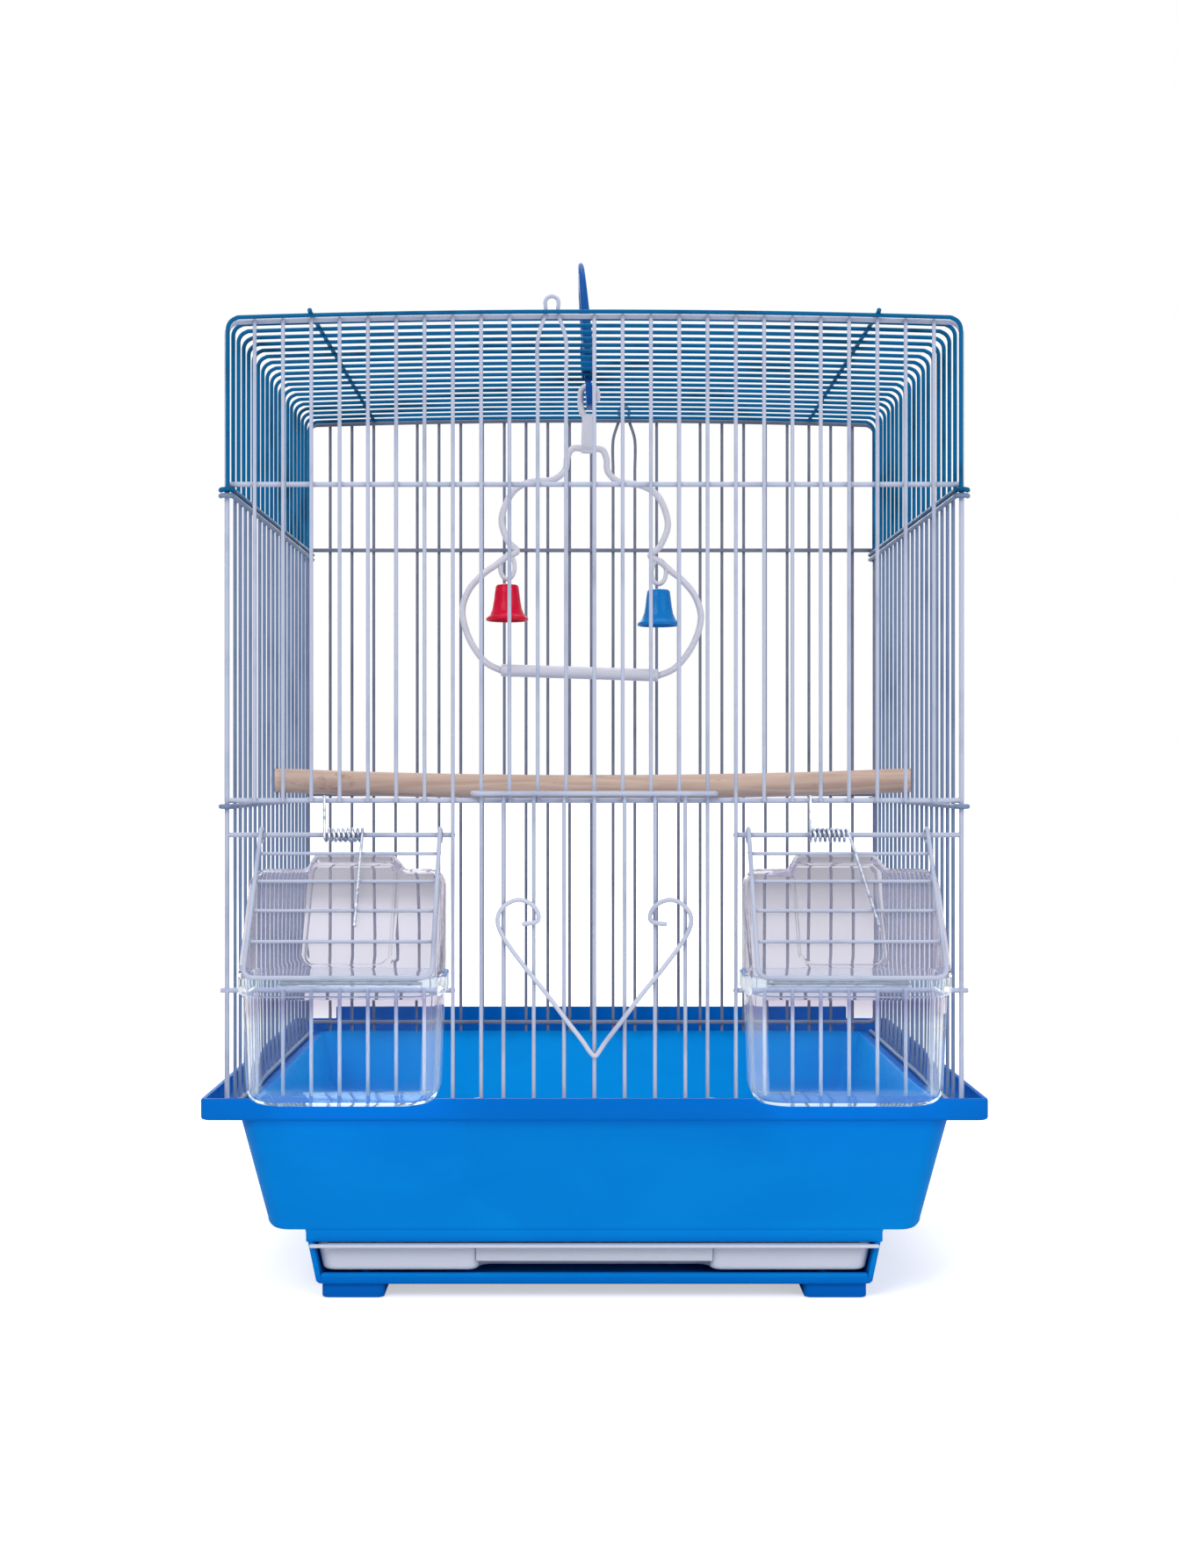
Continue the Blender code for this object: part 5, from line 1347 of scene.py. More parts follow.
@dataclass
class Feeder:
    """One feeder: its flap, torsion spring, clear cup and clear hood.

    Pairs in X are given for the right feeder and mirrored for the left, but spring_x and leg_splay hold the
    left spring's value and the right's. A row of hood_edge says how far the hood's edge stands back and in.
    A row of panel_rise says how far the raised middle's rim stands in and what share of the relief is gone.
    """

    hand: Hand
    tilt: float = math.radians(36)
    length: float = 65.0
    bar_shares: tuple[float, ...] = (0.145, 0.34, 0.542, 0.75)
    inner_x: float = 60.0
    outer_x: float = 129.5
    plane: float = 2.4
    bar_plane: float = 1.05
    bar_over: float = 0.6
    eye_tail: float = -2.0
    flap_corner: float = 4.0
    flap_weld: tuple[float, float, float] = (1.0, 0.85, 1.0)
    frame_wire: float = 0.85
    bar_wire: float = 0.65
    spring_x: tuple[float, float] = (-104.8, 83.8)
    spring_radius: float = 2.3
    spring_wire: float = 0.6
    spring_turns: int = 8
    spring_length: float = 14.8
    leg_over: float = 2.0
    leg_length: float = 43.0
    leg_splay: tuple[float, float] = (0.0, 8.0)
    cup_x: float = 95.0
    cup_half: float = 37.5
    cup_foot: float = 80.5
    cup_top: float = 129.3
    cup_front: float = -140.76
    cup_back: float = -106.9
    cup_wall: float = 1.5
    cup_corner: float = 12.0
    cup_round: float = 6.0
    cup_inner_corner: float = 10.5
    cup_inner_round: float = 4.5
    cup_heel: float = 2.0
    band: float = 7.4
    band_proud: float = 1.5
    hook_half: float = 28.0
    hook_wall: float = 1.6
    hook_drop: float = 5.0
    hook_gap: float = 0.3
    hood_foot: float = 129.6
    hood_wall: float = 1.2
    hood_shoulder: float = 13.0
    hood_peak: float = 7.1
    hood_peak_x: tuple[float, float] = (78.0, 108.5)
    hood_radii: tuple[float, ...] = (0.0, 6.0, 2.0, 3.5, 3.5, 2.0, 6.0, 0.0)
    hood_edge: tuple[tuple[float, float], ...] = (
        (2.6, 0.0), (1.3, 0.35), (0.45, 1.1), (0.0, 2.2), (0.0, 2.7),
    )
    panel_x: tuple[float, float] = (75.5, 109.0)
    panel_foot: float = 3.5
    panel_head: float = 10.6
    panel_radii: tuple[float, ...] = (4.5, 4.5, 2.5, 2.5)
    panel_rise: tuple[tuple[float, float], ...] = (
        (0.0, 1.0), (0.35, 0.65), (0.7, 0.2), (1.1, 0.0), (1.6, 0.0),
    )
    relief: float = 0.9

    def hung(self) -> Matrix:
        """The turn that tilts what hangs from the rod out to its rest."""
        return Matrix.Translation((0, -GRID.half_depth, GRID.hinge_z)) @ Matrix.Rotation(-self.tilt, 4, "X")

    def slope_y(self, z: float, inward: float = 0.0) -> float:
        """Y of the hood's sloping face at a height."""
        drop = GRID.hinge_z - z
        return -GRID.half_depth - drop * math.tan(self.tilt) + inward / math.cos(self.tilt)

    def build(self, shop: Workshop) -> None:
        """Make the feeder's four pieces.

        Args:
            shop: takes the finished pieces.
        """
        self.build_flap(shop)
        self.build_spring(shop)
        self.build_cup(shop)
        self.build_hood(shop)

    def build_flap(self, shop: Workshop) -> None:
        """Make the flap, hanging straight, and tilt it.

        Args:
            shop: takes the finished pieces.
        """
        side = self.hand.value
        blank = Blank()
        inner, outer = side * self.inner_x, side * self.outer_x
        rising = [(inner, self.plane, self.eye_tail)]
        for step in range(15):
            angle = math.pi * step / 14
            rising.append((inner, self.plane * math.cos(angle), self.plane * math.sin(angle)))
        falling = [(outer, y, z) for _, y, z in reversed(rising)]
        feet = [(x, -self.plane, -self.length) for x in (inner, outer)]
        bend = bent((rising[-1], *feet, falling[0]), self.flap_corner, 7)[1:-1]
        blank.wire(rising + bend + falling, self.frame_wire, matrix=self.hung())
        for share in self.bar_shares:
            z = -self.length * share
            over = side * self.bar_over
            ends = ((inner - over, -self.bar_plane, z), (outer + over, -self.bar_plane, z))
            blank.wire(ends, self.bar_wire, matrix=self.hung())
            for x in (inner, outer):
                blank.bead((x, -(self.plane + self.bar_plane) / 2, z), self.flap_weld, self.hung())
        body = Body.FLAP_LEFT if self.hand is Hand.LEFT else Body.FLAP_RIGHT
        name = self.hand.word + "_flap"
        shop.publish(blank, name + "_wires", body, Finish.COATED_WIRE, [name])

    def build_spring(self, shop: Workshop) -> None:
        """Make the torsion spring: a leg up on the cross wire, the turns, and a leg down over the flap.

        Args:
            shop: takes the finished pieces.
        """
        place = 0 if self.hand is Hand.LEFT else 1
        first, splay = self.spring_x[place], self.leg_splay[place]
        radius = self.spring_radius
        up = GRID.head_z - GRID.hinge_z + self.leg_over
        path = [Vector((first, -radius, z)) for z in (up, up / 2, 0.8)]
        count = 20 * self.spring_turns
        for step in range(count + 1):
            share = step / count
            angle = (math.tau * self.spring_turns - self.tilt) * share
            path.append(Vector((first + self.spring_length * share, -radius * math.cos(angle),
                                -radius * math.sin(angle))))
        along = Vector((0, -math.sin(self.tilt), -math.cos(self.tilt)))
        outward = Vector((0, -math.cos(self.tilt), math.sin(self.tilt)))
        last = first + self.spring_length
        for run in (1.0, 5.0, 10.0, 24.0, self.leg_length):
            rise = radius + 0.2 * min(1.0, run / 10)
            path.append(rise * outward + run * along + Vector((last + splay * run / self.leg_length, 0, 0)))
        blank = Blank()
        rod = Matrix.Translation((0, -GRID.half_depth, GRID.hinge_z))
        blank.wire(path, self.spring_wire, 8, matrix=rod)
        name = self.hand.word + "_spring"
        shop.publish(blank, name + "_wire", Body.CAGE, Finish.SPRING_STEEL, [name])

    def lean(self, z: float) -> float:
        """How far the cup's tapering wall stands outside its nominal size at a height."""
        return -1.5 + 1.3 * (z - self.cup_foot) / (self.cup_top - self.band - self.cup_foot)

    def cup_ring(self, grow: float, z: float, corner: float, heel: float = 3.0, back: float = 0.0) -> Ring:
        """A level outline of the cup.

        Args:
            grow: how far the outline stands outside the cup's body.
            z: height.
            corner: radius at the front corners.
            heel: radius at the back corners.
            back: how far the outline stands in from the cup's back.

        Returns:
            The outline's points.
        """
        middle = self.hand.value * self.cup_x
        left, right = middle - (self.cup_half + grow), middle + (self.cup_half + grow)
        front = self.cup_front - grow
        rear = self.cup_back - back
        corners = ((left, rear), (left, front), (right, front), (right, rear))
        return plan(corners, (heel, corner, corner, heel), z, 8)

    def build_cup(self, shop: Workshop) -> None:
        """Make the cup: a thin shell with a stiff band at its mouth and a hook at its back.

        Args:
            shop: takes the finished pieces.
        """
        blank = Blank()
        low, top = self.cup_foot, self.cup_top
        wall, proud, inner = self.cup_wall, self.band_proud, self.cup_inner_corner
        band_z = top - self.band
        rings = []
        for step in range(7):
            angle = math.pi / 2 * step / 6
            sink = self.cup_round * (1 - math.sin(angle))
            z = low + self.cup_round * (1 - math.cos(angle))
            corner = self.cup_corner - sink * 0.5
            rings.append(self.cup_ring(self.lean(z) - sink, z, corner, back=sink * 0.4))
        for z in (low + 7.0, low + 9.0, band_z - 3.0, band_z - 1.0):
            rings.append(self.cup_ring(self.lean(z), z, self.cup_corner))
        band_rows = (
            (0.1, band_z, 12.2), (proud - 0.3, band_z + 0.6, 13.2), (proud, band_z + 1.2, 13.5),
            (proud, band_z + 2.0, 13.5), (proud, top - 1.4, 13.5), (proud, top - 0.7, 13.5),
            (proud - 0.5, top, 13.0),
        )
        rings += [self.cup_ring(*row) for row in band_rows]
        rings.append(self.cup_ring(-wall + 0.3, top, 10.8, self.cup_heel, wall - 0.3))
        for z in (top - 0.6, top - 1.5, band_z, low + 8.0, low + 6.5):
            rings.append(self.cup_ring(self.lean(z) - wall, z, inner, self.cup_heel, wall))
        for step in range(7):
            angle = math.pi / 2 * (6 - step) / 6
            sink = self.cup_inner_round * (1 - math.sin(angle))
            z = low + wall + self.cup_inner_round * (1 - math.cos(angle))
            grow = self.lean(z) - wall - sink
            rings.append(self.cup_ring(grow, z, inner - sink * 0.5, self.cup_heel, wall + sink * 0.4))
        blank.tower(rings)
        middle = self.hand.value * self.cup_x
        left, right = middle - self.hook_half, middle + self.hook_half
        hook_z = GRID.sill_z + GRID.thick + self.hook_gap
        tail = -GRID.half_depth + GRID.thick + self.hook_gap
        corner = (right, tail + self.hook_wall, hook_z + self.hook_wall)
        blank.slab((left, self.cup_back - 1.0, hook_z), corner, 0.4)
        blank.slab((left, tail, hook_z - self.hook_drop), corner, 0.4)
        cup = shop.publish(blank, self.hand.word + "_cup_shell", Body.CAGE, Finish.CLEAR_PLASTIC,
                           [self.hand.word + "_cup"])
        cup.visible_shadow = False
        cup.data.materials.append(shop.finishes[Finish.CUP_SIDE_SHEEN])
        # Faces turned sideways get the milkier finish: painted sheen on the side walls.
        for face in cup.data.polygons:
            if abs(face.normal.x) > 0.6:
                face.material_index = 1

    def hood_outline(self) -> list[tuple[float, float]]:
        """The hood seen from the front: its X and Z from one foot, over the peak, to the other.

        Returns:
            The outline's points, each in X and Z.
        """
        middle = self.hand.value * self.cup_x
        half = self.cup_half
        left_peak, right_peak = sorted(self.hand.value * x for x in self.hood_peak_x)
        shoulder, peak = GRID.hinge_z - self.hood_shoulder, GRID.hinge_z - self.hood_peak
        outline = ((middle - half, self.hood_foot), (middle - half, shoulder), (left_peak - 2.6, shoulder),
                   (left_peak, peak), (right_peak, peak), (right_peak + 5.0, shoulder),
                   (middle + half, shoulder), (middle + half, self.hood_foot))
        points: list[tuple[float, float]] = []
        for index, radius in enumerate(self.hood_radii):
            if radius == 0.0:
                points.append(outline[index])
                continue
            spots = [Vector((*outline[index + shift], 0.0)) for shift in (-1, 0, 1)]
            points.extend((p.x, p.y) for p in corner_arc(*spots, radius, 5))
        return points

    def build_hood(self, shop: Workshop) -> None:
        """Make the hood: a bent sheet with a sloping face, two cheeks and a raised middle.

        Args:
            shop: takes the finished pieces.
        """
        middle = self.hand.value * self.cup_x
        foot = self.hood_foot
        points = self.hood_outline()
        bm = bmesh.new()
        last = [bm.verts.new((x, self.cup_back, z)) for x, z in points]
        for pair in zip(last, last[1:]):
            bm.edges.new(pair)
        for count, (back, shrink) in enumerate(self.hood_edge):
            places = []
            for x, z in points:
                low = z <= foot + 0.01
                lean = Vector((math.copysign(1.0, x - middle), 0)) if low else Vector((x - middle, z - foot))
                pull = lean.normalized() * shrink
                face = self.slope_y(z - pull.y, self.relief) + back
                places.append(Vector((x - pull.x, min(self.cup_back - 0.2 * (count + 1), face), z - pull.y)))
            last = Blank.grow(bm, last, places, closed=False)
        foot_edge = bm.edges.new((last[0], last[-1]))
        rim = [bm.edges.get(pair) for pair in zip(last, last[1:])] + [foot_edge]
        inner = Blank.start(bm, self.panel_ring(-0.6, self.relief))
        rim += [bm.edges.get(pair) for pair in zip(inner, inner[1:] + inner[:1])]
        bmesh.ops.triangle_fill(bm, use_beauty=True, use_dissolve=False, edges=rim)
        for inset, share in self.panel_rise:
            inner = Blank.grow(bm, inner, self.panel_ring(inset, share * self.relief))
        Blank.cap(bm, inner)
        bmesh.ops.recalc_face_normals(bm, faces=bm.faces)
        if sum(f.normal.y * f.calc_area() for f in bm.faces) > 0:
            bmesh.ops.reverse_faces(bm, faces=bm.faces)
        blank = Blank()
        blank.take(bm)
        shell = shop.publish(blank, self.hand.word + "_hood_shell", Body.CAGE, Finish.CLOUDY_PLASTIC,
                             [self.hand.word + "_hood"], 60)
        self.crisp_rim(shell.data)
        shell.visible_shadow = False
        wall = shell.modifiers.new("wall", "SOLIDIFY")
        wall.thickness = self.hood_wall * MM
        wall.offset = -1.0

    @staticmethod
    def crisp_rim(mesh: bpy.types.Mesh) -> None:
        """Keep a sheet's open edges sharp, so that its wall isn't shaded round into its cut rim.

        Args:
            mesh: the sheet's mesh.
        """
        bm = bmesh.new()
        bm.from_mesh(mesh)
        for edge in bm.edges:
            if edge.is_boundary:
                edge.smooth = False
        bm.to_mesh(mesh)
        bm.free()

    def panel_ring(self, inset: float, depth: float) -> Ring:
        """An outline of the hood's raised middle, lying on the slope.

        Args:
            inset: how far it stands in from the panel's foot line.
            depth: how far it lies behind the raised face.

        Returns:
            The outline's points.
        """
        foot = self.hood_foot + self.panel_foot + inset
        head = GRID.hinge_z - self.panel_head - inset
        near, far = self.panel_x
        low, high = sorted((self.hand.value * (near + inset), self.hand.value * (far - inset)))
        flat = plan(((low, foot), (high, foot), (high, head), (low, head)), self.panel_radii, 0.0)
        return [Vector((p.x, self.slope_y(p.y, depth), p.y)) for p in flat]


@dataclass
class Tray:
    """The tray: basin, rim with side ledges, drawer housing and feet.

    A row of foot_rows says how far a foot's outline stands in, and its height.
    """

    foot_z: float = 5.7
    basin_z: float = 27.5
    rim_z: float = 71.7
    rim_top: float = 80.0
    ledge_z: float = 73.7
    floor_z: float = 32.2
    outer_round: float = 3.6
    inner_round: float = 2.4
    wall: float = 2.2
    lip_top: float = 86.0
    sill_z: float = 22.6
    foot_x: tuple[float, float] = (82.0, 106.5)
    foot_y: tuple[float, float] = (72.3, 102.3)
    foot_rows: tuple[tuple[float, float], ...] = ((0.7, 0.0), (0.2, 0.25), (0.0, 0.8), (0.0, 7.0))

    def basin(self) -> list[Ring]:
        """Outlines of the basin, from under its floor, over the rim and down to the drop hole.

        Each row of a table gives an outline's half width, half depth, corner radius and height.

        Returns:
            The outlines in order; the last runs on into the first.
        """
        rim, top, ledge = self.rim_z, self.rim_top, self.ledge_z
        rings = [oblong(106.0, 100.0, 6.0, self.basin_z), oblong(124.6, 105.45, 6.0, self.basin_z)]
        for step in range(1, 7):
            angle = math.pi / 2 * step / 6
            spread = self.outer_round * math.sin(angle)
            rings.append(oblong(124.6 + spread, 105.45 + 0.15 * math.sin(angle), 6.0 + spread * 0.7,
                                self.basin_z + self.outer_round * (1 - math.cos(angle))))
        rim_rows = (
            (137.1, 114.3, 9.0, rim - 0.8), (137.8, 114.5, 9.0, rim), (150.5, 114.7, 3.0, rim),
            (151.2, 114.9, 2.8, rim + 0.3), (151.5, 115.0, 2.6, rim + 1.0), (151.5, 115.0, 2.6, top - 0.8),
            (151.2, 114.8, 2.5, top - 0.2), (150.8, 114.4, 2.3, top), (150.0, 113.6, 1.8, top),
            (149.6, 113.2, 1.5, top - 0.3), (149.5, 113.1, 1.4, ledge + 0.5), (149.1, 113.0, 1.2, ledge),
            (136.0, 112.9, 6.8, ledge), (135.2, 112.5, 6.8, ledge - 0.8), (126.2, 103.7, 5.0, self.floor_z),
        )
        rings += [oblong(*row) for row in rim_rows]
        for step in range(1, 5):
            angle = math.pi / 2 * step / 4
            pull = self.inner_round * (1 - math.cos(angle))
            z = self.floor_z - self.inner_round * math.sin(angle)
            rings.append(oblong(126.2 - pull, 103.7 - pull, 5.0, z))
        hole_rows = (
            (109.2, 101.4, 4.0, 29.7), (108.4, 101.0, 3.0, 29.2), (108.4, 101.0, 3.0, 24.8),
            (101.6, 96.6, 9.2, 24.8), (101.0, 96.0, 9.0, 24.3), (101.0, 96.0, 9.0, self.sill_z),
            (106.0, 100.0, 6.0, self.sill_z),
        )
        rings += [oblong(*row) for row in hole_rows]
        return rings

    def housing_ring(self, half: float, depth: float, z: float) -> Ring:
        """A level outline of the housing's side and back walls, open at the front.

        Args:
            half: half width of the outside.
            depth: half depth of the outside.
            z: height.

        Returns:
            The outline's points.
        """
        wall = self.wall
        inner = depth - wall - 1.2
        corners = ((half, -depth), (half, depth), (-half, depth), (-half, -depth), (wall - half, -depth),
                   (wall - half, inner), (half - wall, inner), (half - wall, -depth))
        return plan(corners, (0.5, 2.5, 2.5, 0.5, 0.5, 1.0, 1.0, 0.5), z, 4)

    def build(self, shop: Workshop) -> None:
        """Make the tray.

        Args:
            shop: takes the finished pieces.
        """
        blank = Blank()
        blank.tower(self.basin(), joined=True)
        blank.slab((-130.0, 113.35, self.ledge_z + 1.5), (130.0, 114.75, self.lip_top), 0.5)
        low, high = self.foot_z + 1.2, self.basin_z + HAIR
        blank.tower([self.housing_ring(108.4, 104.3, low), self.housing_ring(112.5, 105.5, high)])
        floor_rows = ((1.2, self.foot_z), (0.35, self.foot_z + 0.35), (0.0, low), (0.0, self.foot_z + 2.5))
        blank.tower([oblong(108.5 - shrink, 104.4 - shrink, 2.5, z) for shrink, z in floor_rows])
        blank.slab((-112.2, -105.4, self.sill_z), (112.2, -100.5, high), 0.4)
        blank.slab((-106.6, -104.3, 6.9), (106.6, -101.8, 10.1), 0.5)
        foot = [oblong(12.25 - shrink, 15.0 - shrink, 2.2, z) for shrink, z in self.foot_rows]
        for side in (-1, 1):
            blank.slab((side * 90 - 1.5, -97.0, 7.0), (side * 90 + 1.5, 97.0, 10.7), 0.4)
            for end in (-1, 1):
                centre = Vector((side * sum(self.foot_x) / 2, end * sum(self.foot_y) / 2, 0.0))
                blank.tower([[p + centre for p in ring] for ring in foot])
        shell = shop.publish(blank, "tray_shell", Body.TRAY, Finish.TRAY_PLASTIC, ["base_tray"])
        shell.data.materials.append(shop.finishes[Finish.LIT_TRAY_LINING])
        # The basin's inward faces get the lighter lining: painted light.
        for face in shell.data.polygons:
            spot = (face.center - shop.middle) / MM
            inward = spot.x * face.normal.x + spot.y * face.normal.y < 0 or face.normal.z > 0.9
            inside = abs(spot.x) < 136.5 and abs(spot.y) < 113.5 and 29.0 < spot.z < self.ledge_z
            if inward and inside:
                face.material_index = 1


@dataclass
class Drawer:
    """The litter drawer, with a finger recess in the middle of its front."""

    foot: float = 11.0
    top: float = 22.1
    front: float = -103.5
    back: float = 101.1
    notch_half: float = 45.0
    notch_deep: float = 8.0
    band_low: float = 14.6

    def pan_ring(self, half: float, inset: float, corner: float, z: float, notch: float) -> Ring:
        """A level outline of the pan.

        Args:
            half: half width of the pan's outside at this height.
            inset: how far the outline stands inside the pan's outside.
            corner: radius of the pan's corners.
            z: height.
            notch: radius of the recess's corners.

        Returns:
            The outline's points.
        """
        side = half - inset
        front, back = self.front + inset, self.back - inset
        gap = self.notch_half + inset
        deep = self.front + self.notch_deep + inset
        corners = ((side, front), (side, back), (-side, back), (-side, front),
                   (-gap, front), (-gap, deep), (gap, deep), (gap, front))
        return plan(corners, (corner,) * 4 + (notch, notch + 1, notch + 1, notch), z)

    def build(self, shop: Workshop) -> None:
        """Make the drawer.

        Args:
            shop: takes the finished pieces.
        """
        blank = Blank()
        foot, top = self.foot, self.top
        rows = (
            (106.6, 1.8, 5.0, foot), (106.6, 0.7, 5.0, foot + 0.25), (106.6, 0.15, 5.0, foot + 0.9),
            (106.6, 0.0, 5.0, foot + 1.8), (108.6, 0.0, 5.0, top - 0.5), (108.6, 0.4, 4.8, top),
            (108.6, 1.4, 3.6, top), (108.6, 1.6, 3.4, top - 0.4), (106.8, 1.7, 3.4, foot + 3.2),
            (106.8, 2.6, 3.0, foot + 1.8), (106.8, 4.0, 2.6, foot + 1.6),
        )
        blank.tower([self.pan_ring(half, inset, corner, z, 4.0) for half, inset, corner, z in rows])
        side = self.notch_half + 1.2
        back = self.front + self.notch_deep + 1.0
        blank.slab((-side, self.front, self.band_low), (side, self.front + 1.6, top), 0.5)
        blank.slab((-side, self.front, top - 1.4), (side, back, top), 0.4)
        blank.slab((-110.6, -107.8, top - 1.4), (110.6, -105.8, top), 0.55, 3)
        blank.slab((-103.6, -107.0, top - 1.3), (103.6, self.front + 1.2, top - 0.1), 0.4)
        shop.publish(blank, "drawer_shell", Body.DRAWER, Finish.DRAWER_PLASTIC, ["litter_drawer"])


@dataclass
class Perch:
    """The wooden dowel, slotted at both ends over an upright wire."""

    radius: float = 5.4
    y: float = 5.5
    z: float = 198.7
    slot_half: float = 1.05
    end_over: float = 1.6
    sag: float = 3.0

    def build(self, shop: Workshop) -> None:
        """Make the dowel: a disc is extruded to the slot, and the two cheeks beside the slot go on.

        Args:
            shop: takes the finished pieces.
        """
        bm = bmesh.new()
        bmesh.ops.create_circle(bm, cap_ends=True, segments=48, radius=self.radius,
                                matrix=Matrix.Rotation(math.pi / 2, 4, "Y"))
        for y in (-self.slot_half, self.slot_half):
            bmesh.ops.bisect_plane(bm, geom=bm.verts[:] + bm.edges[:] + bm.faces[:], plane_co=(0, y, 0),
                                   plane_no=(0, 1, 0))
        inner = GRID.side_x - self.slot_half
        base = bm.faces[:]
        rim = [e for e in bm.edges if e.is_boundary]
        shell = bmesh.ops.extrude_edge_only(bm, edges=rim)["geom"]
        far = [item for item in shell if isinstance(item, Vert)]
        bmesh.ops.translate(bm, vec=(-inner, 0, 0), verts=far)
        bmesh.ops.translate(bm, vec=(inner, 0, 0), verts=bm.verts)
        cheeks = [f for f in base if abs(f.calc_center_median().y) > self.slot_half]
        grown = bmesh.ops.extrude_discrete_faces(bm, faces=cheeks)["faces"]
        long = self.slot_half + self.end_over
        for face in grown:
            bmesh.ops.translate(bm, vec=(long, 0, 0), verts=face.verts)
            bmesh.ops.inset_region(bm, faces=[face], thickness=0.35, depth=0.0)
            bmesh.ops.translate(bm, vec=(0.3, 0, 0), verts=face.verts)
        bmesh.ops.mirror(bm, geom=bm.verts[:] + bm.edges[:] + bm.faces[:], axis="X", merge_dist=WELD)
        bmesh.ops.remove_doubles(bm, verts=bm.verts, dist=WELD)
        for number in range(-5, 6):
            bmesh.ops.bisect_plane(bm, geom=bm.verts[:] + bm.edges[:] + bm.faces[:],
                                   plane_co=(number * 2 * GRID.pitch, 0, 0), plane_no=(1, 0, 0))
        for vert in bm.verts:
            vert.co.z += self.sag * (vert.co.x / GRID.side_x) ** 2
        blank = Blank()
        blank.absorb(bm, Matrix.Translation((0, self.y, self.z)))
        shop.publish(blank, "perch_dowel", Body.CAGE, Finish.PALE_WOOD, ["wooden_perch"])


@dataclass
class Handle:
    """The handle: grip and block over the roof, stem and hook under it."""

    x: float = -2.0
    lean: float = math.radians(3.3)
    y: float = 7.3
    reach: float = 29.0
    low: float = 11.0
    high: float = 50.0
    bar: float = 6.5
    thick: float = 3.4
    corner_radii: tuple[float, ...] = (7.0, 7.0, 14.5, 14.5)
    block_low: float = 3.4
    block_high: float = 14.6
    block_half: tuple[float, float] = (2.85, 8.5)
    stem_half: float = 1.4
    stem_corners: tuple[tuple[float, float], ...] = (
        (3.0, 8.0), (3.0, -13.0), (-16.8, -13.0), (-16.8, -3.6), (-14.0, -3.6), (-14.0, -6.6),
        (-8.0, -6.6), (-8.0, -5.1), (-3.0, -3.6), (-3.0, 8.0),
    )
    stem_radii: tuple[float, ...] = (1.0, 6.0, 6.0, 1.0, 1.0, 1.5, 1.5, 1.0, 1.0, 1.0)

    def placed(self) -> Matrix:
        """Where the handle stands, with its lean."""
        return Matrix.Translation((self.x, self.y, GRID.roof_z)) @ Matrix.Rotation(-self.lean, 4, "Y")

    def build(self, shop: Workshop) -> None:
        """Make the handle.

        Args:
            shop: takes the finished pieces.
        """
        blank = Blank()
        half = self.bar / 2
        reach = self.reach - half
        corners = ((0, -reach, self.low + half), (0, reach, self.low + half),
                   (0, reach, self.high - half), (0, -reach, self.high - half))
        path: Ring = []
        for index, radius in enumerate(self.corner_radii):
            spots = [Vector(corners[(index + shift) % 4]) for shift in (-1, 0, 1)]
            path.extend(corner_arc(*spots, radius, 10))
        section = [(p.x, p.y) for p in oblong(self.thick / 2, half, 1.5, 0.0, 3)]
        grip = Blank()
        grip.wire(path, half, closed=True, outline=section, up=Vector((0, 0, 1)))
        for vert in grip.bm.verts:
            share = (vert.co.z - self.low) / (self.high - self.low)
            vert.co.x = vert.co.x * (1.30 - 0.60 * share) + 0.5 - 1.1 * share
        blank.absorb(grip.bm, self.placed())
        x, y = self.block_half
        blank.slab((-x, -y, self.block_low), (x, y, self.block_high), 1.0, 3, self.placed())
        self.stem(blank)
        shop.publish(blank, "handle_shell", Body.CAGE, Finish.HANDLE_PLASTIC, ["handle"])

    def stem(self, blank: Blank) -> None:
        """Make the flat stem with the hook that carries the swing.

        Args:
            blank: the mesh that it is added to.
        """
        flat = plan(self.stem_corners, self.stem_radii, 0.0, 6)
        turn = Matrix(((0, 0, 1, 0), (1, 0, 0, 0), (0, 1, 0, 0), (0, 0, 0, 1)))
        bm = bmesh.new()
        ring = Blank.start(bm, [Vector((p.x, p.y, -self.stem_half)) for p in flat])
        Blank.cap(bm, ring)
        Blank.cap(bm, Blank.grow(bm, ring, [Vector((p.x, p.y, self.stem_half)) for p in flat]))
        edges = [e for e in bm.edges if abs(e.verts[0].co.z - e.verts[1].co.z) < HAIR]
        bmesh.ops.bevel(bm, geom=edges, offset=0.5, segments=2, affect="EDGES", profile=0.5, material=-1,
                        clamp_overlap=True)
        blank.absorb(bm, self.placed() @ turn)


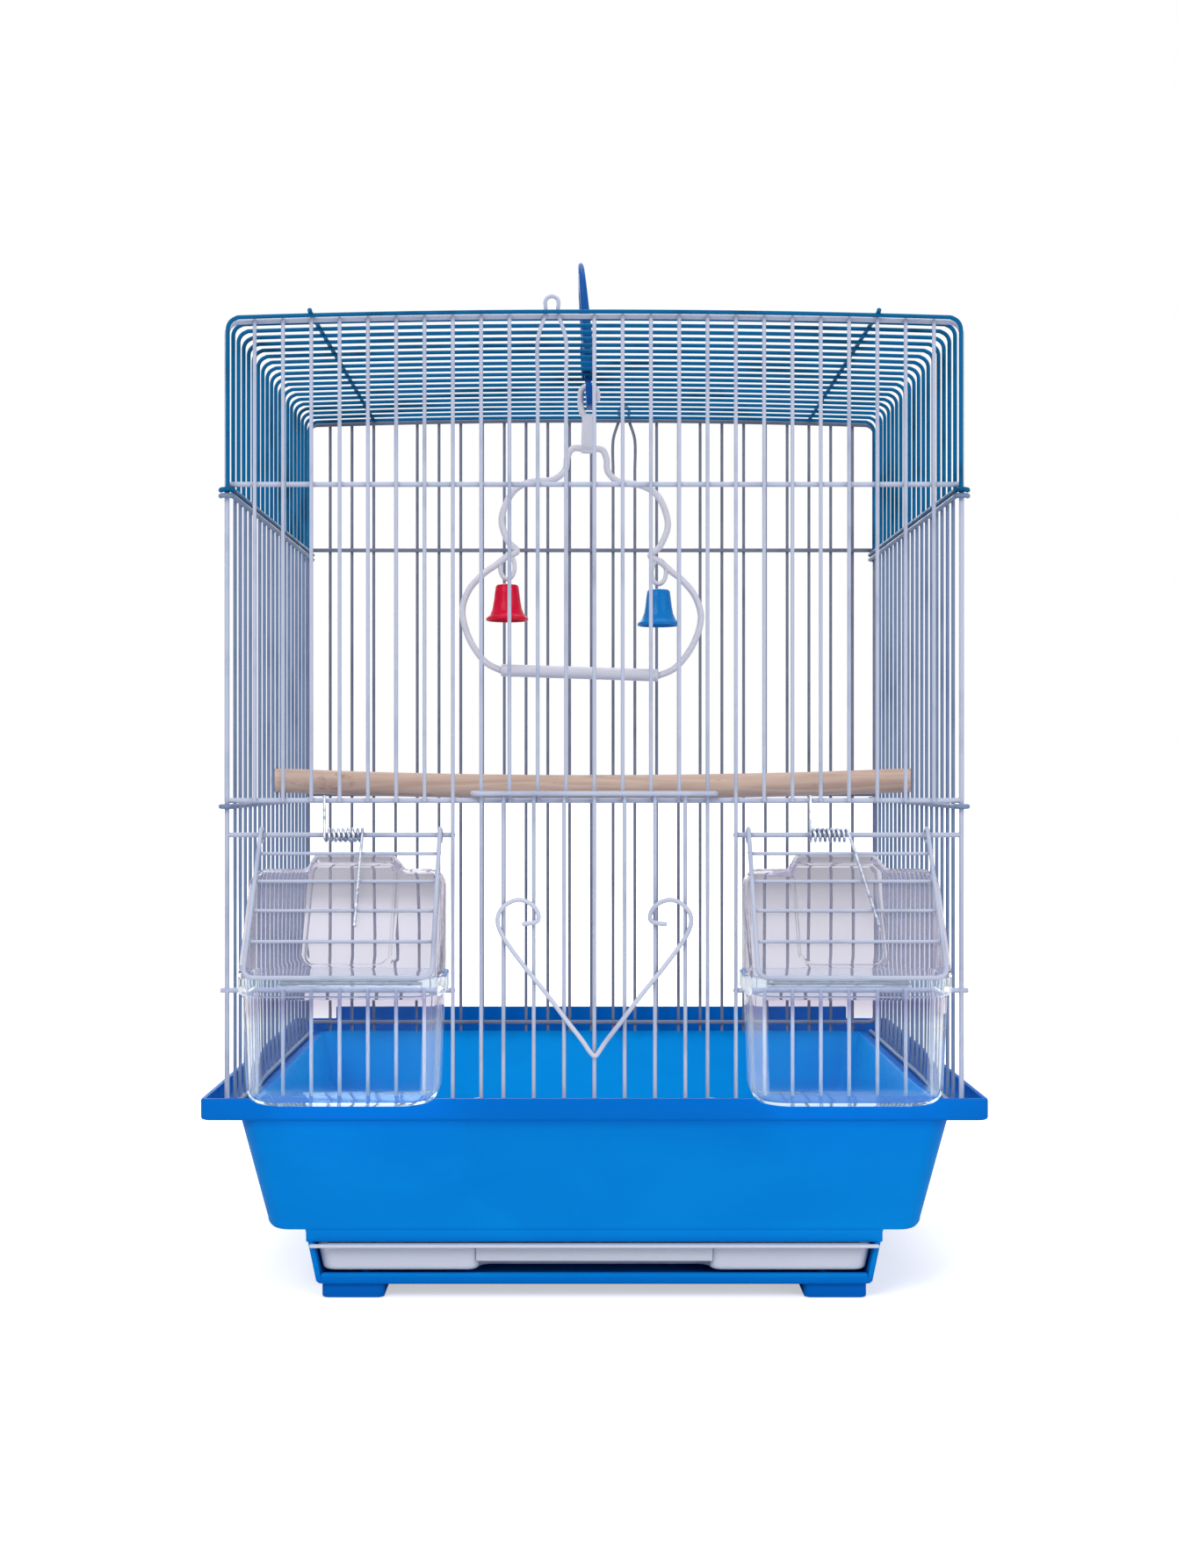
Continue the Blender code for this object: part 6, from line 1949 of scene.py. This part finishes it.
@dataclass
class Swing:
    """The swing and its bells, which hang from the handle's hook.

    A row of shares is a place on the frame, in shares of its half width and its drop below the seat. The
    bells' profile is in radius and height about the loop's middle.
    """

    lean: float = math.radians(1.9)
    half: float = 53.1
    drop: float = 125.2
    rod: float = 1.45
    perch_half: float = 35.0
    perch_radius: float = 2.75
    eye_x: float = 33.7
    eye_drop: float = 79.3
    eye_half: float = 3.2
    eye_tall: float = 5.3
    shares: tuple[tuple[float, float], ...] = (
        (0.0, 0.204), (0.118, 0.204), (0.163, 0.235), (0.180, 0.282), (0.278, 0.317), (0.476, 0.329),
        (0.616, 0.369), (0.697, 0.461), (0.640, 0.539), (0.561, 0.575), (0.650, 0.598), (0.735, 0.628),
        (0.840, 0.662), (0.951, 0.719), (1.0, 0.797), (0.934, 0.893), (0.802, 0.970),
    )
    rod_socket: float = 5.0
    stem_low: tuple[float, float, float] = (-2.7, -1.4, -27.5)
    stem_high: tuple[float, float, float] = (2.7, 1.4, -10.0)
    hook: float = 3.7
    hook_tail: float = 3.0
    hook_wire: float = 1.4
    bar_core: float = 1.6
    bar_socket: float = 5.3
    bar_soft: float = 0.4
    bell_profile: tuple[tuple[float, float], ...] = (
        (0.0, -2.4), (3.4, -2.4), (4.6, -2.7), (5.2, -3.5), (5.5, -6.0), (6.0, -10.0), (6.6, -13.2),
        (7.6, -15.6), (8.7, -16.9), (9.3, -17.3), (9.5, -17.8), (9.4, -18.4), (9.0, -18.6), (8.6, -18.4),
        (8.2, -17.4), (7.0, -15.6), (5.8, -12.8), (5.1, -9.5), (4.7, -6.0), (4.2, -3.9), (0.0, -3.4),
    )
    bell_loop: float = 2.2
    seat: Vector = field(default_factory=lambda: Vector((-1.62, -3.7, 374.75)))

    def placed(self) -> Matrix:
        """Where the swing hangs."""
        return Matrix.Translation(self.seat) @ Matrix.Rotation(self.lean, 4, "Y")

    def build(self, shop: Workshop) -> None:
        """Make the swing's frame, its bar and both bells.

        Args:
            shop: takes the finished pieces.
        """
        self.build_frame(shop)
        self.build_bar(shop)
        self.build_bell(shop, "red_bell", -1, Body.BELL_RED, Finish.RED_PLASTIC)
        self.build_bell(shop, "blue_bell", 1, Body.BELL_BLUE, Finish.BLUE_PLASTIC)

    def build_frame(self, shop: Workshop) -> None:
        """Make the shaped frame with its hook, stem and eyes.

        Args:
            shop: takes the finished pieces.
        """
        blank = Blank()
        place = self.placed()
        end = self.perch_half + 0.3
        half = [(x * self.half, 0.0, -z * self.drop) for x, z in self.shares] + [(end, 0.0, -self.drop)]
        other = [(-x, y, z) for x, y, z in half[:0:-1]]
        inside = end - self.rod_socket
        path = [Vector((-inside, 0, -self.drop)), *flowing(other + half), Vector((inside, 0, -self.drop))]
        blank.wire(path, self.rod, 14, matrix=place)
        blank.slab(self.stem_low, self.stem_high, 0.7, 3, place)
        bend_z = 2.4 - self.hook
        hook = flowing(((-1.35, 0, -11.35), (-2.6, 0, -9.6), (-3.5, 0, -7.0), (-self.hook, 0, bend_z)), 5)
        hook += crown_arc(0.0, 0.0, bend_z, self.hook, 18)[1:]
        hook.append(Vector((self.hook, 0.0, bend_z - self.hook_tail)))
        blank.wire(hook, self.hook_wire, 14, matrix=place)
        eye = ellipse(self.eye_half, self.eye_tall, 28)
        for side in (-1, 1):
            ring = [(side * self.eye_x + x, 0.0, -self.eye_drop + z) for x, z in eye]
            blank.wire(ring, 1.0, 12, closed=True, matrix=place)
        shop.publish(blank, "swing_rod", Body.SWING, Finish.MILKY_PLASTIC, ["swing_frame"])

    def build_bar(self, shop: Workshop) -> None:
        """Make the bar that the bird stands on, with a socket at each end.

        Args:
            shop: takes the finished pieces.
        """
        blank = Blank()
        r, h, core, deep = self.perch_radius, self.perch_half, self.bar_core, self.bar_socket
        soft = self.bar_soft
        profile = [(0.0, -h + deep), (core, -h + deep), (core, -h), (r - soft, -h), (r, -h + soft),
                   (r, h - soft), (r - soft, h), (core, h), (core, h - deep), (0.0, h - deep)]
        turn = self.placed() @ Matrix.Translation((0, 0, -self.drop)) @ Matrix.Rotation(math.pi / 2, 4, "Y")
        blank.turned(profile, 32, turn)
        shop.publish(blank, "swing_bar", Body.SWING, Finish.MILKY_PLASTIC, ["swing_perch"])

    def build_bell(self, shop: Workshop, node: str, side: int, body: Body, finish: Finish) -> None:
        """Make one bell: a thin turned wall with a rolled rim, and the loop on its crown.

        Args:
            shop: takes the finished pieces.
            node: the bell's CAD node.
            side: -1 for the left eye, 1 for the right.
            body: the body that it rides on.
            finish: what it is made of.
        """
        blank = Blank()
        pivot = self.placed() @ Vector((side * self.eye_x, 0.0, -self.eye_drop - self.eye_tall))
        place = Matrix.Translation(pivot)
        blank.turned(self.bell_profile, 48, place)
        loop = [(0.0, y, z) for y, z in ellipse(self.bell_loop, self.bell_loop, 24)]
        tab = ellipse(1.25, 0.75, 12)
        blank.wire(loop, 0.75, closed=True, outline=tab, up=Vector((0, 0, 1)), matrix=place)
        shop.publish(blank, node + "_shell", body, finish, [node])


@dataclass
class Studio:
    """Plain pale floor, soft lamps and the camera at the photograph's place."""

    eye: Vector = field(default_factory=lambda: Vector((-5.0, -809.5, 205.0)))
    lens: float = 41.57
    shift: tuple[float, float] = (0.0045, -0.0070)
    aim_z: float = 0.2
    ambient: float = 0.55
    floor_tone: tuple[float, ...] = (0.8, 0.8, 0.8, 1.0)
    glow: tuple[float, float] = (0.5, 1.1)
    glow_reach: tuple[float, float] = (0.35, 1.6)
    lamps: tuple[tuple[str, tuple[float, float, float], float, float], ...] = (
        ("key_lamp", (-0.9, -1.5, 1.5), 1.2, 22.0),
        ("fill_lamp", (1.3, -1.3, 0.7), 1.4, 12.0),
        ("top_lamp", (0.1, 0.3, 2.0), 1.6, 16.0),
        ("back_lamp", (-0.4, 1.8, 1.0), 1.4, 10.0),
    )

    def floor(self) -> None:
        """A wide pale floor that meets the white background without a line."""
        bm = bmesh.new()
        bmesh.ops.create_grid(bm, x_segments=1, y_segments=1, size=12.0)
        mesh = bpy.data.meshes.new("pale_floor")
        bm.to_mesh(mesh)
        bm.free()
        floor = bpy.data.objects.new("pale_floor", mesh)
        bpy.context.scene.collection.objects.link(floor)
        graph = Graph("pale_floor")
        graph.set(Base_Color=self.floor_tone, Roughness=0.9, Specular_IOR_Level=0.0)
        nodes, links = graph.tree.nodes, graph.tree.links
        glow = nodes.new("ShaderNodeEmission")
        seen = nodes.new("ShaderNodeLightPath")
        bright = nodes.new("ShaderNodeMath")
        bright.operation = "MULTIPLY"
        length = nodes.new("ShaderNodeVectorMath")
        length.operation = "LENGTH"
        total = nodes.new("ShaderNodeAddShader")
        links.new(graph.place, length.inputs[0])
        links.new(graph.spread(length.outputs["Value"], *self.glow, *self.glow_reach), bright.inputs[1])
        links.new(seen.outputs["Is Camera Ray"], bright.inputs[0])
        links.new(bright.outputs["Value"], glow.inputs["Strength"])
        links.new(graph.shader.outputs["BSDF"], total.inputs[0])
        links.new(glow.outputs["Emission"], total.inputs[1])
        links.new(total.outputs["Shader"], nodes["Material Output"].inputs["Surface"])
        mesh.materials.append(graph.material)

    def world(self) -> None:
        """A white surround to the camera and to clear and shiny surfaces, and a soft pale light."""
        world = bpy.data.worlds.new("studio")
        bpy.context.scene.world = world
        world.use_nodes = True
        tree = world.node_tree
        ground = tree.nodes["Background"]
        ground.inputs["Color"].default_value = (1.0, 1.0, 1.0, 1.0)
        seen = tree.nodes.new("ShaderNodeLightPath")
        share = seen.outputs["Is Camera Ray"]
        for ray in ("Is Transmission Ray", "Is Glossy Ray"):
            either = tree.nodes.new("ShaderNodeMath")
            either.operation = "MAXIMUM"
            tree.links.new(share, either.inputs[0])
            tree.links.new(seen.outputs[ray], either.inputs[1])
            share = either.outputs["Value"]
        level = tree.nodes.new("ShaderNodeMapRange")
        level.inputs["To Min"].default_value = self.ambient
        level.inputs["To Max"].default_value = 1.0
        tree.links.new(share, level.inputs["Value"])
        tree.links.new(level.outputs["Result"], ground.inputs["Strength"])

    def build(self, shop: Workshop) -> None:
        """Make the floor, the lamps and the camera.

        Args:
            shop: takes the finished pieces.
        """
        self.floor()
        self.world()
        target = shop.middle + Vector((0.0, 0.0, self.aim_z))
        for name, place, size, watts in self.lamps:
            data = bpy.data.lights.new(name, "AREA")
            data.shape = "DISK"
            data.size = size
            data.energy = watts
            lamp = bpy.data.objects.new(name, data)
            lamp.location = place
            lamp.rotation_euler = (target - Vector(place)).to_track_quat("-Z", "Y").to_euler()
            bpy.context.scene.collection.objects.link(lamp)
        data = bpy.data.cameras.new("camera")
        data.lens = self.lens
        data.sensor_width = 36.0
        data.shift_x, data.shift_y = self.shift
        data.clip_start = 0.01
        camera = bpy.data.objects.new("camera", data)
        camera.location = self.eye * MM + shop.middle
        camera.rotation_euler = (math.pi / 2, 0.0, 0.0)
        bpy.context.scene.collection.objects.link(camera)
        bpy.context.scene.camera = camera
        bpy.context.scene.view_settings.view_transform = "Standard"


def main() -> None:
    """Build the whole scene, one sub-assembly after another."""
    logging.basicConfig(level=logging.INFO, format="%(name)s: %(message)s")
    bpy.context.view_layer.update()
    shop = Workshop()
    EndPanels().build(shop)
    SidePanels().build(shop)
    Roof().build(shop)
    LiftDoor().build(shop)
    for hand in Hand:
        Feeder(hand).build(shop)
    Tray().build(shop)
    Drawer().build(shop)
    Perch().build(shop)
    Handle().build(shop)
    Swing().build(shop)
    Studio().build(shop)


if __name__ == "__main__":
    main()
